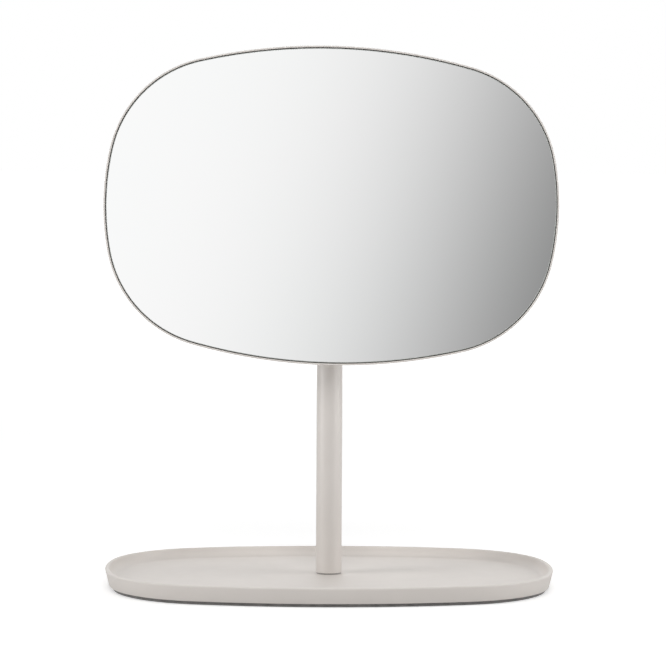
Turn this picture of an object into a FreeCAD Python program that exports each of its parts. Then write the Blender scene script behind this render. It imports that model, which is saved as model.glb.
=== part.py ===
import FreeCAD, Part
import enum
import math
import os
import re

import Sketcher
from FreeCAD import Placement, Rotation, Vector

# A table mirror: a framed glass that tilts and turns on a post, over a shallow tray.
# The origin is on the table, under the middle of the tray. The glass faces -Y.

# Driving sizes, in millimetres and degrees
SIZES = {
    # outline that the tray and the head share: side, corner and long arcs meet at these angles
    "side_arc_angle": 11.56,
    "corner_end_angle": 75.81,
    # tray, one pressed sheet with a skirt
    "tray_length": 277.7,
    "tray_depth": 187.0,
    "tray_corner_radius": 69.2,
    "tray_height": 12.0,
    "tray_floor_height": 6.0,
    "tray_sheet": 1.2,
    "rim_width": 2.6,
    "rim_outer_radius": 1.0,
    "rim_inner_radius": 1.0,
    "skirt_inset": 2.4,
    "skirt_foot_height": 2.1,
    "bowl_slope_angle": 76.0,
    "bowl_radius_share": 0.72,
    "floor_land": 2.0,
    # weight and pad under the tray
    "pad_thickness": 3.0,
    "pad_inset": 4.0,
    "pad_hole_diameter": 24.0,
    "plate_inset": 6.5,
    # screw that holds the post down
    "base_screw_diameter": 6.0,
    "base_screw_length": 17.0,
    "base_screw_head_diameter": 12.0,
    "base_screw_head_height": 1.4,
    "base_socket_width": 4.0,
    "base_socket_depth": 0.9,
    "base_washer_diameter": 18.0,
    "base_washer_thickness": 0.5,
    "hole_clearance": 0.2,
    # post
    "post_offset": 10.3,
    "post_diameter": 16.0,
    "post_wall": 1.2,
    "seat_clearance": 0.05,
    "insert_length": 18.0,
    "gasket_thickness": 0.8,
    "gasket_setback": 0.5,
    # tilt hinge at the top of the post
    "pivot_height": 236.3,
    "fork_drop": 22.0,
    "spigot_length": 24.0,
    "slot_floor_drop": 9.5,
    "ear_web": 1.7,
    "eye_width": 5.4,
    "eye_diameter": 12.0,
    "blade_height": 9.0,
    "running_clearance": 0.05,
    "tilt_bolt_diameter": 4.0,
    "tilt_bolt_head_diameter": 7.0,
    "tilt_bolt_head_height": 1.6,
    "tilt_socket_width": 2.5,
    "tilt_socket_depth": 1.0,
    "tilt_head_clearance": 0.3,
    "tilt_washer_diameter": 12.0,
    "tilt_washer_thickness": 0.6,
    "tilt_spring_thickness": 0.5,
    "tilt_spring_height": 0.65,
    "tilt_nut_width": 7.0,
    "tilt_nut_height": 2.2,
    "set_screw_diameter": 4.0,
    "set_screw_length": 5.0,
    "set_screw_drop": 12.0,
    "set_socket_width": 2.0,
    "set_socket_depth": 2.0,
    # turn joint behind the head
    "collar_gap": 0.8,
    "collar_diameter": 13.0,
    "hub_gap": 0.6,
    "hub_standoff": 15.0,
    "hub_depth": 10.0,
    "hub_diameter": 38.0,
    "hub_rear_wall": 3.0,
    "hub_edge_radius": 2.0,
    "journal_diameter": 10.0,
    "key_width": 6.0,
    "key_gap": 0.2,
    "turn_ring_thickness": 0.6,
    "turn_disc_diameter": 24.0,
    "turn_disc_thickness": 2.3,
    "turn_disc_gap": 0.5,
    "turn_spring_inner_diameter": 12.2,
    "turn_spring_thickness": 1.0,
    "turn_screw_diameter": 4.0,
    "turn_screw_length": 8.0,
    "turn_screw_head_diameter": 8.0,
    "turn_screw_head_height": 2.0,
    "turn_socket_width": 3.0,
    "turn_socket_depth": 1.4,
    # head
    "head_width": 278.5,
    "head_height": 195.0,
    "head_corner_radius": 72.3,
    "head_roll": 1.5,
    "shell_thickness": 1.0,
    "shell_back_radius": 4.0,
    "lip_rise": 0.3,
    "lip_radius_share": 0.3,
    "glass_gap": 0.6,
    "glass_thickness": 3.0,
    "glass_arris": 0.4,
    "foam_thickness": 1.8,
    "foam_inset": 6.5,
    "foam_opening_gap": 3.0,
    "carrier_diameter": 64.0,
    "carrier_thickness": 1.2,
    "hub_screw_pitch": 31.5,
    "hub_screw_diameter": 3.0,
    "hub_screw_length": 8.0,
    "hub_screw_head_diameter": 5.6,
    # room that a cut takes past the face that it leaves by, and slack for finding an edge
    "overrun": 2.0,
    "edge_slack": 0.001,
}
HUB_SCREW_COUNT = 4
HEXAGON_SIDE_COUNT = 6
SQUARE_SIDE_COUNT = 4

# Directions, and angles in degrees
X_AXIS = Vector(1, 0, 0)
Y_AXIS = Vector(0, 1, 0)
Z_AXIS = Vector(0, 0, 1)
RIGHT_ANGLE = 90
STRAIGHT_ANGLE = 180
FULL_ANGLE = 360


class Spot(enum.IntEnum):
    """Numbers that a sketch gives to the points of a curve."""

    START = 1
    END = 2
    CENTRE = 3


class Axis(enum.IntEnum):
    """Numbers that a sketch gives to its own axes, whose starts are the origin."""

    LEVEL = -1
    UPRIGHT = -2


# Radii of the side and long arcs that close an outline of the given half sizes and corner radius
BLEND = (
    "((1 - cos(side_arc_angle)) * (1 - sin(corner_end_angle))"
    " - cos(corner_end_angle) * sin(side_arc_angle))"
)
REST_X = "({0} / 2 - {2} * (cos(side_arc_angle) - cos(corner_end_angle)))"
REST_Y = "({1} / 2 - {2} * (sin(corner_end_angle) - sin(side_arc_angle)))"
SIDE_RADIUS = f"({REST_X} * (1 - sin(corner_end_angle)) - cos(corner_end_angle) * {REST_Y}) / {BLEND}"
LONG_RADIUS = f"((1 - cos(side_arc_angle)) * {REST_Y} - sin(side_arc_angle) * {REST_X}) / {BLEND}"
TRAY = ("tray_length", "tray_depth", "tray_corner_radius")
HEAD = ("head_width", "head_height", "head_corner_radius")

# Places worked out from the driving sizes
PLACES = {
    "tray_side_radius": SIDE_RADIUS.format(*TRAY),
    "tray_long_radius": LONG_RADIUS.format(*TRAY),
    "tray_side_shift": "tray_side_radius - tray_length / 2",
    "tray_long_shift": "tray_long_radius - tray_depth / 2",
    "head_side_radius": SIDE_RADIUS.format(*HEAD),
    "head_long_radius": LONG_RADIUS.format(*HEAD),
    "head_side_shift": "head_side_radius - head_width / 2",
    "head_long_shift": "head_long_radius - head_height / 2",
    # tray section, measured outwards from the middle of the tray
    "rim_edge": "tray_length / 2",
    "rim_corner": "rim_edge + rim_outer_radius * (skirt_lean + sqrt(1 + skirt_lean ^ 2) - 1)",
    "bowl_depth": "tray_height - tray_floor_height",
    "bowl_corner": "rim_edge - rim_width - bowl_depth / tan(bowl_slope_angle)",
    "bowl_tangent": "bowl_radius_share * (bowl_depth / sin(bowl_slope_angle)"
                    " - rim_inner_radius * tan(bowl_slope_angle / 2))",
    "bowl_radius": "bowl_tangent / tan(bowl_slope_angle / 2)",
    "floor_edge": "bowl_corner - bowl_tangent - floor_land",
    "floor_underside": "tray_floor_height - tray_sheet",
    "skirt_lean": "skirt_inset / (tray_height - skirt_foot_height)",
    "skirt_inner_foot": "rim_corner - skirt_inset - tray_sheet * sqrt(1 + skirt_lean ^ 2)",
    "fold_height": "tray_height - tray_sheet",
    "fold_outer": "skirt_inner_foot + skirt_lean * (fold_height - skirt_foot_height)",
    "under_corner": "bowl_corner + tray_sheet * tan(bowl_slope_angle / 2)",
    "fold_inner": "under_corner + bowl_depth / tan(bowl_slope_angle)",
    # stack under the post
    "plate_thickness": "floor_underside - pad_thickness",
    "base_head_level": "pad_thickness - base_washer_thickness - base_screw_head_height",
    "post_foot_level": "tray_floor_height + gasket_thickness",
    "post_bore": "post_diameter - 2 * post_wall",
    "fork_shoulder_level": "pivot_height - fork_drop",
    "post_length": "fork_shoulder_level - post_foot_level",
    "base_hole_diameter": "base_screw_diameter + 2 * hole_clearance",
    # tilt hinge, measured up from the end of the spigot and sideways from the slot
    "fork_length": "spigot_length + fork_drop + post_diameter / 2",
    "fork_pivot_level": "spigot_length + fork_drop",
    "slot_width": "eye_width + 2 * tilt_washer_thickness",
    "ear_seat": "slot_width / 2 + ear_web",
    "tilt_bore": "tilt_bolt_diameter + 2 * running_clearance",
    "tilt_head_bore": "tilt_bolt_head_diameter + 2 * tilt_head_clearance",
    "tilt_head_level": "ear_seat + tilt_spring_height + tilt_bolt_head_height",
    "tilt_bolt_length": "ear_seat + tilt_spring_height + ear_seat + tilt_nut_height",
    # turn joint and head, measured forwards from the tilt axis
    "collar_level": "post_diameter / 2 + collar_gap",
    "collar_length": "hub_standoff - hub_gap - collar_level",
    "journal_bore": "journal_diameter + 2 * running_clearance",
    "disc_level": "hub_standoff + hub_rear_wall + turn_ring_thickness",
    "journal_length": "disc_level - collar_level - collar_length",
    "key_length": "turn_disc_thickness - key_gap",
    "disc_front_level": "disc_level + turn_disc_thickness",
    "spring_level": "disc_front_level + turn_ring_thickness",
    "shell_level": "hub_standoff + hub_depth",
    "spring_height": "(shell_level - spring_level) / 2",
    "hub_cavity": "turn_disc_diameter + 2 * turn_disc_gap",
    "shell_floor_level": "shell_level + shell_thickness",
    "glass_level": "shell_floor_level + foam_thickness",
    "shell_depth": "shell_thickness + foam_thickness + glass_thickness + lip_rise",
    "shell_edge": "head_width / 2",
    "shell_floor_edge": "shell_edge - shell_back_radius - floor_land",
    "lip_radius": "lip_radius_share * shell_thickness",
    "glass_inset": "shell_thickness + glass_gap",
    "hub_screw_reach": f"hub_screw_pitch / 2 * cos({STRAIGHT_ANGLE / HUB_SCREW_COUNT})",
    "hub_screw_hole": "hub_screw_diameter + 2 * hole_clearance",
    "hub_screw_head_depth": "(hub_screw_head_diameter - hub_screw_diameter) / 2",
    "countersink": "hub_screw_head_depth - hole_clearance + seat_clearance",
}

UPRIGHT = Rotation()
SIDEWAYS = Rotation(Y_AXIS, RIGHT_ANGLE)
FORWARD = Rotation(X_AXIS, RIGHT_ANGLE)

doc = FreeCAD.newDocument("table_mirror")


def linked(text):
    """Name the sheet of every size and place in a formula."""
    def owner(match):
        word = match.group(0)
        if word in SIZES:
            return "Sizes." + word
        if word in PLACES:
            return "Places." + word
        return word
    return re.sub(r"[a-z]\w*", owner, text)


def write_sheet(title, cells):
    """Fill a sheet with one named cell per line."""
    sheet = doc.addObject("Spreadsheet::Sheet", title)
    for line, (name, text) in enumerate(cells.items(), start=1):
        sheet.set(f"A{line}", name)
        sheet.set(f"B{line}", text)
        sheet.setAlias(f"B{line}", name)
    doc.recompute()
    return sheet


write_sheet("Sizes", {name: str(size) for name, size in SIZES.items()})
write_sheet("Places", {name: "=" + linked(text) for name, text in PLACES.items()})
bench = doc.addObject("Spreadsheet::Sheet", "Bench")


def value(text):
    """Number that a formula comes to, for starting a sketch near its solution."""
    bench.set("A1", "=" + linked(text))
    bench.recompute()
    return float(bench.get("A1"))


def bind(target, path, text):
    """Tie one property to a formula."""
    target.setExpression(path, linked(text))


def new_body(label, rotation=UPRIGHT, x=None, y=None, z=None):
    """Start a sub-part, turned as given, with its place tied to formulas."""
    body = doc.addObject("PartDesign::Body", label)
    body.Label = label
    body.Placement = Placement(Vector(), rotation)
    for axis, text in (("x", x), ("y", y), ("z", z)):
        if text:
            bind(body, "Placement.Base." + axis, text)
    return body


def new_sketch(body, role, offset=None):
    """Sketch on one of the body's own planes, moved along its normal by a formula."""
    sketch = body.newObject("Sketcher::SketchObject", body.Label + "_sketch")
    plane = next(feature for feature in body.Origin.OriginFeatures if feature.Role == role)
    sketch.AttachmentSupport = (plane, [""])
    sketch.MapMode = "FlatFace"
    if offset:
        bind(sketch, "AttachmentOffset.Base.z", offset)
    return sketch


def dimension(sketch, text, *constraint):
    """Add a dimension and tie it to a formula."""
    index = sketch.addConstraint(Sketcher.Constraint(*constraint, value(text)))
    sketch.renameConstraint(index, f"size_{index}")
    bind(sketch, f"Constraints.size_{index}", text)


def relate(sketch, *constraint):
    """Add a constraint without a size."""
    sketch.addConstraint(Sketcher.Constraint(*constraint))


def pin(sketch, geometry, point, x, y):
    """Tie a point's coordinates to formulas, where None lies on the axis."""
    if x is None:
        relate(sketch, "PointOnObject", geometry, point, Axis.UPRIGHT)
    else:
        dimension(sketch, x, "DistanceX", geometry, point)
    if y is None:
        relate(sketch, "PointOnObject", geometry, point, Axis.LEVEL)
    else:
        dimension(sketch, y, "DistanceY", geometry, point)


def start(x, y):
    """Starting place of a point in a sketch."""
    return Vector(value(x) if x else 0, value(y) if y else 0, 0)


def draw_outline(sketch, family, inset="0"):
    """Rounded outline of eight tangent arcs, drawn in from the family's own by an inset."""
    side, long, corner = (value(f"{family}_{name}_radius - {inset}") for name in ("side", "long", "corner"))
    right = Vector(-value(family + "_side_shift"), 0, 0)
    top = Vector(0, -value(family + "_long_shift"), 0)
    first = value("side_arc_angle")
    last = value("corner_end_angle")
    reach = side - corner
    knee = right + Vector(reach * math.cos(math.radians(first)), reach * math.sin(math.radians(first)), 0)
    flip_x = Vector(-knee.x, knee.y, 0)
    arcs = [
        (right, side, -first, first),
        (knee, corner, first, last),
        (top, long, last, STRAIGHT_ANGLE - last),
        (flip_x, corner, STRAIGHT_ANGLE - last, STRAIGHT_ANGLE - first),
        (-right, side, STRAIGHT_ANGLE - first, STRAIGHT_ANGLE + first),
        (-knee, corner, STRAIGHT_ANGLE + first, STRAIGHT_ANGLE + last),
        (-top, long, STRAIGHT_ANGLE + last, FULL_ANGLE - last),
        (-flip_x, corner, FULL_ANGLE - last, FULL_ANGLE - first),
    ]
    for centre, radius, begin, end in arcs:
        circle = Part.Circle(centre, Z_AXIS, radius)
        sketch.addGeometry(Part.ArcOfCircle(circle, math.radians(begin), math.radians(end)))
    for index in range(len(arcs)):
        relate(sketch, "Tangent", index, Spot.END, (index + 1) % len(arcs), Spot.START)
    right_side, top_side, left_side, bottom_side = range(0, len(arcs), 2)
    first_corner, *other_corners = range(1, len(arcs), 2)
    for index in (right_side, left_side):
        relate(sketch, "PointOnObject", index, Spot.CENTRE, Axis.LEVEL)
    for index in (top_side, bottom_side):
        relate(sketch, "PointOnObject", index, Spot.CENTRE, Axis.UPRIGHT)
    relate(sketch, "Equal", right_side, left_side)
    relate(sketch, "Equal", top_side, bottom_side)
    for corner_arc in other_corners:
        relate(sketch, "Equal", first_corner, corner_arc)
    for index, name in ((right_side, "side"), (first_corner, "corner"), (top_side, "long")):
        dimension(sketch, f"{family}_{name}_radius - {inset}", "Radius", index)
    origin = (Axis.LEVEL, Spot.START)
    dimension(sketch, family + "_side_shift", "DistanceX", right_side, Spot.CENTRE, *origin)
    dimension(sketch, family + "_side_shift", "DistanceX", *origin, left_side, Spot.CENTRE)
    dimension(sketch, family + "_long_shift", "DistanceY", top_side, Spot.CENTRE, *origin)
    dimension(sketch, family + "_long_shift", "DistanceY", *origin, bottom_side, Spot.CENTRE)


def draw_profile(sketch, corners):
    """Closed profile of straight sides through corners (x, y) or rounded corners (x, y, radius)."""
    points = [start(corner[0], corner[1]) for corner in corners]
    count = len(corners)
    leave, arrive, rounds = list(points), list(points), {}
    for index, (_, _, *rounding) in enumerate(corners):
        if not rounding:
            continue
        back = (points[index - 1] - points[index]).normalize()
        ahead = (points[(index + 1) % count] - points[index]).normalize()
        half = back.getAngle(ahead) / 2
        radius = value(*rounding)
        arrive[index] = points[index] + back * (radius / math.tan(half))
        leave[index] = points[index] + ahead * (radius / math.tan(half))
        centre = points[index] + (back + ahead).normalize() * (radius / math.sin(half))
        turns_left = back.cross(ahead).z < 0
        ends = (arrive[index], leave[index]) if turns_left else (leave[index], arrive[index])
        angles = [math.atan2(end.y - centre.y, end.x - centre.x) for end in ends]
        rounds[index] = (Part.ArcOfCircle(Part.Circle(centre, Z_AXIS, radius), *angles), turns_left)
    for index in range(count):
        sketch.addGeometry(Part.LineSegment(leave[index], arrive[(index + 1) % count]))
    for index, corner in enumerate(corners):
        before = (index - 1) % count
        if index not in rounds:
            relate(sketch, "Coincident", before, Spot.END, index, Spot.START)
            pin(sketch, index, Spot.START, corner[0], corner[1])
            continue
        arc, turns_left = rounds[index]
        arc_index = sketch.addGeometry(arc)
        mark = sketch.addGeometry(Part.Point(points[index]), True)
        pin(sketch, mark, Spot.START, corner[0], corner[1])
        relate(sketch, "PointOnObject", mark, Spot.START, before)
        relate(sketch, "PointOnObject", mark, Spot.START, index)
        relate(sketch, "Tangent", before, Spot.END, arc_index, Spot.START if turns_left else Spot.END)
        relate(sketch, "Tangent", arc_index, Spot.END if turns_left else Spot.START, index, Spot.START)
        dimension(sketch, corner[2], "Radius", arc_index)


def draw_circle(sketch, diameter, x=None, y=None):
    """Circle about a point."""
    index = sketch.addGeometry(Part.Circle(start(x, y), Z_AXIS, value(diameter) / 2))
    pin(sketch, index, Spot.CENTRE, x, y)
    dimension(sketch, f"({diameter}) / 2", "Radius", index)


def draw_polygon(sketch, sides, width, y=None):
    """Regular polygon of an even number of sides, by its width across flats, with corners up and down."""
    angle = STRAIGHT_ANGLE / sides
    rim = f"({width}) / 2 / cos({angle})"
    centre = start(None, y)
    first = sketch.GeometryCount
    points = [centre + Vector(0, value(rim), 0)]
    for step in range(1, sides):
        points.append(centre + Rotation(Z_AXIS, 2 * angle * step).multVec(points[0] - centre))
    for index, point in enumerate(points):
        sketch.addGeometry(Part.LineSegment(point, points[(index + 1) % sides]))
    circle = sketch.addGeometry(Part.Circle(centre, Z_AXIS, value(rim)), True)
    pin(sketch, circle, Spot.CENTRE, None, y)
    dimension(sketch, rim, "Radius", circle)
    for index in range(sides):
        relate(sketch, "Coincident", first + index, Spot.END, first + (index + 1) % sides, Spot.START)
        relate(sketch, "PointOnObject", first + index, Spot.START, circle)
    for index in range(1, sides):
        relate(sketch, "Equal", first, first + index)
    relate(sketch, "PointOnObject", first, Spot.START, Axis.UPRIGHT)


def pad(body, sketch, length, symmetric=False):
    """Raise a sketch into a solid."""
    feature = body.newObject("PartDesign::Pad", body.Label + "_pad")
    feature.Profile = sketch
    feature.SideType = "Symmetric" if symmetric else "One side"
    bind(feature, "Length", length)
    return feature


def pocket(body, sketch, length, symmetric=False, forwards=False):
    """Cut a sketch's shape out of the body, against the sketch's normal unless forwards."""
    feature = body.newObject("PartDesign::Pocket", body.Label + "_pocket")
    feature.Profile = sketch
    feature.SideType = "Symmetric" if symmetric else "One side"
    feature.Reversed = forwards
    bind(feature, "Length", length)
    return feature


def revolve(body, outer, inner=(), base=None):
    """Turn a stepped section about the body's Z axis.

    outer holds (diameter, length) or (diameter, end diameter, length) steps from the base up.
    inner holds the bore's (diameter, length) steps from the base up, the last to the top if it has
    no length.
    """
    sketch = new_sketch(body, "XZ_Plane")
    height = value(base) if base else 0.0
    foot = height
    path = []
    for step in outer:
        path.append((step[0], height, None))
        height += value(step[-1])
        path.append((step[-2], height, step[-1]))
    bore = []
    depth = foot
    for diameter, length in inner:
        bore.append((diameter, depth, None))
        depth = depth + value(length) if length else height
        bore.append((diameter, depth, length))
    if not inner or inner[-1][1]:
        bore.append((None, depth, None))
        bore.append((None, height, None))
    corners = path + bore[::-1]
    points = [Vector(value(name) / 2 if name else 0, level, 0) for name, level, _ in corners]
    count = len(corners)
    for index, point in enumerate(points):
        sketch.addGeometry(Part.LineSegment(point, points[(index + 1) % count]))
    for index, (name, level, rise) in enumerate(corners):
        relate(sketch, "Coincident", index, Spot.END, (index + 1) % count, Spot.START)
        if name:
            dimension(sketch, f"({name}) / 2", "DistanceX", index, Spot.START)
        else:
            relate(sketch, "PointOnObject", index, Spot.START, Axis.UPRIGHT)
        if level == corners[(index + 1) % count][1]:
            relate(sketch, "Horizontal", index)
        if rise and index < len(path):
            dimension(sketch, rise, "DistanceY", index - 1, Spot.START, index, Spot.START)
        elif rise:
            dimension(sketch, rise, "DistanceY", index, Spot.END, index, Spot.START)
    if base:
        dimension(sketch, base, "DistanceY", 0, Spot.START)
    else:
        relate(sketch, "PointOnObject", 0, Spot.START, Axis.LEVEL)
    feature = body.newObject("PartDesign::Revolution", body.Label + "_turning")
    feature.Profile = sketch
    feature.ReferenceAxis = (sketch, ["V_Axis"])
    feature.Angle = FULL_ANGLE
    return feature


def dress(body, kind, feature, picks, edge):
    """Round or bevel the edges of a feature that a test picks."""
    doc.recompute()
    names = [f"Edge{index}" for index, edge in enumerate(feature.Shape.Edges, start=1) if picks(edge)]
    finish = body.newObject("PartDesign::" + kind, body.Label + "_edge")
    finish.Base = (feature, names)
    bind(finish, "Radius" if kind == "Fillet" else "Size", edge)
    return finish


def lies_at(level):
    """Test for edges that lie at one height of their body."""
    height = value(level)
    slack = value("edge_slack")
    return lambda edge: all(abs(vertex.Z - height) < slack for vertex in edge.Vertexes)


def sweep_wall(body, family, section):
    """Sweep a section round a family's outline, to close the edge of a flat floor."""
    spine = new_sketch(body, "XY_Plane")
    draw_outline(spine, family)
    profile = new_sketch(body, "XZ_Plane")
    draw_profile(profile, section)
    wall = body.newObject("PartDesign::AdditivePipe", body.Label + "_wall")
    wall.Profile = profile
    wall.Spine = spine
    return wall


def pattern(body, features, count):
    """Repeat features about the body's Z axis."""
    axis = next(item for item in body.Origin.OriginFeatures if item.Role == "Z_Axis")
    copies = body.newObject("PartDesign::PolarPattern", body.Label + "_pattern")
    copies.Originals = features
    copies.Axis = (axis, [""])
    copies.Angle = FULL_ANGLE
    copies.Occurrences = count
    body.Tip = copies
    return copies


def make_tray():
    """Pressed tray: a flat floor, a bowl section swept round the outline, and the post's hole."""
    body = new_body("tray")
    floor = new_sketch(body, "XY_Plane", "floor_underside")
    draw_outline(floor, "tray", "(rim_edge - floor_edge - floor_land / 2)")
    pad(body, floor, "tray_sheet")
    sweep_wall(body, "tray", [
        ("rim_corner - skirt_inset", "skirt_foot_height"),
        ("rim_corner", "tray_height", "rim_outer_radius"),
        ("rim_edge - rim_width", "tray_height", "rim_inner_radius"),
        ("bowl_corner", "tray_floor_height", "bowl_radius"),
        ("floor_edge", "tray_floor_height"),
        ("floor_edge", "floor_underside"),
        ("under_corner", "floor_underside", "bowl_radius + tray_sheet"),
        ("fold_inner", "fold_height"),
        ("fold_outer", "fold_height"),
        ("skirt_inner_foot", "skirt_foot_height"),
    ])
    hole = new_sketch(body, "XY_Plane")
    draw_circle(hole, "base_hole_diameter", y="post_offset")
    pocket(body, hole, "tray_height", forwards=True)
    return body


def make_base_plate():
    """Steel weight under the tray's floor."""
    body = new_body("base_plate", z="pad_thickness")
    sketch = new_sketch(body, "XY_Plane")
    draw_outline(sketch, "tray", "plate_inset")
    draw_circle(sketch, "base_hole_diameter", y="post_offset")
    pad(body, sketch, "plate_thickness")
    return body


def make_base_pad():
    """Soft pad that the mirror stands on, open round the screw's head."""
    body = new_body("base_pad")
    sketch = new_sketch(body, "XY_Plane")
    draw_outline(sketch, "tray", "pad_inset")
    draw_circle(sketch, "pad_hole_diameter", y="post_offset")
    pad(body, sketch, "pad_thickness")
    return body


def make_base_washer():
    """Washer under the base screw's head."""
    body = new_body("base_washer", y="post_offset", z="pad_thickness - base_washer_thickness")
    revolve(body, [("base_washer_diameter", "base_washer_thickness")], [("base_hole_diameter", None)])
    return body


def make_base_screw():
    """Low-headed screw that draws the post down on the tray."""
    body = new_body("base_screw", y="post_offset", z="base_head_level")
    revolve(body, [
        ("base_screw_head_diameter", "base_screw_head_height"),
        ("base_screw_diameter", "base_screw_length"),
    ])
    socket = new_sketch(body, "XY_Plane")
    draw_polygon(socket, HEXAGON_SIDE_COUNT, "base_socket_width")
    pocket(body, socket, "base_socket_depth", forwards=True)
    return body


def make_foot_gasket():
    """Thin gasket between the post and the tray's floor."""
    body = new_body("foot_gasket", y="post_offset", z="tray_floor_height")
    revolve(
        body,
        [("post_diameter - 2 * gasket_setback", "gasket_thickness")],
        [("base_hole_diameter", None)],
    )
    return body


def make_foot_insert():
    """Threaded plug in the lower end of the post."""
    body = new_body("foot_insert", y="post_offset", z="post_foot_level")
    revolve(
        body,
        [("post_bore - 2 * seat_clearance", "insert_length")],
        [("base_screw_diameter + 2 * seat_clearance", None)],
    )
    return body


def make_post_tube():
    """Round post, with the set screw's hole at the back."""
    body = new_body("post_tube", y="post_offset", z="post_foot_level")
    revolve(body, [("post_diameter", "post_length")], [("post_bore", None)])
    hole = new_sketch(body, "XZ_Plane")
    draw_circle(hole, "set_screw_diameter + 2 * hole_clearance", y="post_length - set_screw_drop")
    pocket(body, hole, "post_diameter")
    return body


def make_tilt_fork():
    """Fork at the top of the post: a spigot in the tube and two ears rounded about the tilt axis."""
    body = new_body("tilt_fork", y="post_offset", z="fork_shoulder_level - spigot_length")
    revolve(body, [
        ("post_bore - 2 * seat_clearance", "spigot_length"),
        ("post_diameter", "fork_drop + post_diameter / 2"),
    ])
    crown = new_sketch(body, "YZ_Plane")
    draw_crown(crown)
    pocket(body, crown, "post_diameter + overrun", symmetric=True)
    slot = new_sketch(body, "XZ_Plane")
    draw_profile(slot, [
        ("-slot_width / 2", "fork_pivot_level - slot_floor_drop"),
        ("slot_width / 2", "fork_pivot_level - slot_floor_drop"),
        ("slot_width / 2", "fork_length + overrun"),
        ("-slot_width / 2", "fork_length + overrun"),
    ])
    pocket(body, slot, "post_diameter + overrun", symmetric=True)
    bore = new_sketch(body, "YZ_Plane")
    draw_circle(bore, "tilt_bore", y="fork_pivot_level")
    pocket(body, bore, "post_diameter + overrun", symmetric=True)
    head_seat = new_sketch(body, "YZ_Plane", "-ear_seat")
    draw_circle(head_seat, "tilt_head_bore", y="fork_pivot_level")
    pocket(body, head_seat, "post_diameter / 2")
    nut_seat = new_sketch(body, "YZ_Plane", "ear_seat")
    draw_polygon(nut_seat, HEXAGON_SIDE_COUNT, "tilt_nut_width + 2 * seat_clearance", y="fork_pivot_level")
    pocket(body, nut_seat, "post_diameter / 2", forwards=True)
    tapping = new_sketch(body, "XZ_Plane")
    draw_circle(tapping, "set_screw_diameter + 2 * seat_clearance", y="spigot_length - set_screw_drop")
    pocket(body, tapping, "post_diameter")
    return body


def draw_crown(sketch):
    """Waste above the ears: a block less the half circle about the tilt axis."""
    radius = value("post_diameter / 2")
    level = value("fork_pivot_level")
    side = value("post_diameter / 2 + overrun")
    top = value("fork_length + overrun")
    points = [(radius, level), (side, level), (side, top), (-side, top), (-side, level), (-radius, level)]
    for (x, y), (next_x, next_y) in zip(points, points[1:]):
        sketch.addGeometry(Part.LineSegment(Vector(x, y, 0), Vector(next_x, next_y, 0)))
    circle = Part.Circle(Vector(0, level, 0), Z_AXIS, radius)
    arc = sketch.addGeometry(Part.ArcOfCircle(circle, 0, math.pi))
    last = arc - 1
    for index in range(last):
        relate(sketch, "Coincident", index, Spot.END, index + 1, Spot.START)
        relate(sketch, "Vertical" if index % 2 else "Horizontal", index)
    relate(sketch, "Horizontal", last)
    relate(sketch, "Coincident", arc, Spot.START, 0, Spot.START)
    relate(sketch, "Coincident", arc, Spot.END, last, Spot.END)
    pin(sketch, arc, Spot.CENTRE, None, "fork_pivot_level")
    dimension(sketch, "post_diameter / 2", "Radius", arc)
    relate(sketch, "Horizontal", arc, Spot.START, arc, Spot.CENTRE)
    right_side, top_side = 1, 2
    pin(sketch, right_side, Spot.END, "post_diameter / 2 + overrun", "fork_length + overrun")
    dimension(sketch, "-post_diameter / 2 - overrun", "DistanceX", top_side, Spot.END)


def make_fork_set_screw():
    """Set screw through the back of the post into the fork's spigot."""
    body = new_body(
        "fork_set_screw",
        FORWARD,
        y="post_offset + post_diameter / 2 - post_wall / 2",
        z="fork_shoulder_level - set_screw_drop",
    )
    revolve(body, [("set_screw_diameter", "set_screw_length")])
    socket = new_sketch(body, "XY_Plane")
    draw_polygon(socket, HEXAGON_SIDE_COUNT, "set_socket_width")
    pocket(body, socket, "set_socket_depth", forwards=True)
    return body


def make_tilt_bolt():
    """Bolt across the fork, with its head in the left ear."""
    body = new_body("tilt_bolt", SIDEWAYS, x="-tilt_head_level", y="post_offset", z="pivot_height")
    revolve(body, [
        ("tilt_bolt_head_diameter", "tilt_bolt_head_height"),
        ("tilt_bolt_diameter", "tilt_bolt_length"),
    ])
    socket = new_sketch(body, "XY_Plane")
    draw_polygon(socket, HEXAGON_SIDE_COUNT, "tilt_socket_width")
    pocket(body, socket, "tilt_socket_depth", forwards=True)
    return body


def make_tilt_nut():
    """Nut held from turning in the right ear."""
    body = new_body("tilt_nut", SIDEWAYS, x="ear_seat", y="post_offset", z="pivot_height")
    sketch = new_sketch(body, "XY_Plane")
    draw_polygon(sketch, HEXAGON_SIDE_COUNT, "tilt_nut_width")
    draw_circle(sketch, "tilt_bore")
    pad(body, sketch, "tilt_nut_height")
    body.Placement.Rotation = SIDEWAYS.multiply(Rotation(Z_AXIS, RIGHT_ANGLE))
    return body


def make_tilt_washers():
    """Friction washers on both sides of the knuckle's eye."""
    places = {"left": "-slot_width / 2", "right": "eye_width / 2"}
    washers = []
    for side, place in places.items():
        body = new_body("tilt_washer_" + side, SIDEWAYS, x=place, y="post_offset", z="pivot_height")
        revolve(body, [("tilt_washer_diameter", "tilt_washer_thickness")], [("tilt_bore", None)])
        washers.append(body)
    return washers


def draw_cone_ring(sketch, outer, inner, height, thickness, base):
    """Section of a disc spring: a thin band that rises from its outer edge to its inner edge."""
    draw_profile(sketch, [
        (f"({outer}) / 2", base),
        (f"({outer}) / 2", thickness if base is None else f"{base} + {thickness}"),
        (f"({inner}) / 2", height),
        (f"({inner}) / 2", f"{height} - {thickness}"),
    ])


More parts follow.
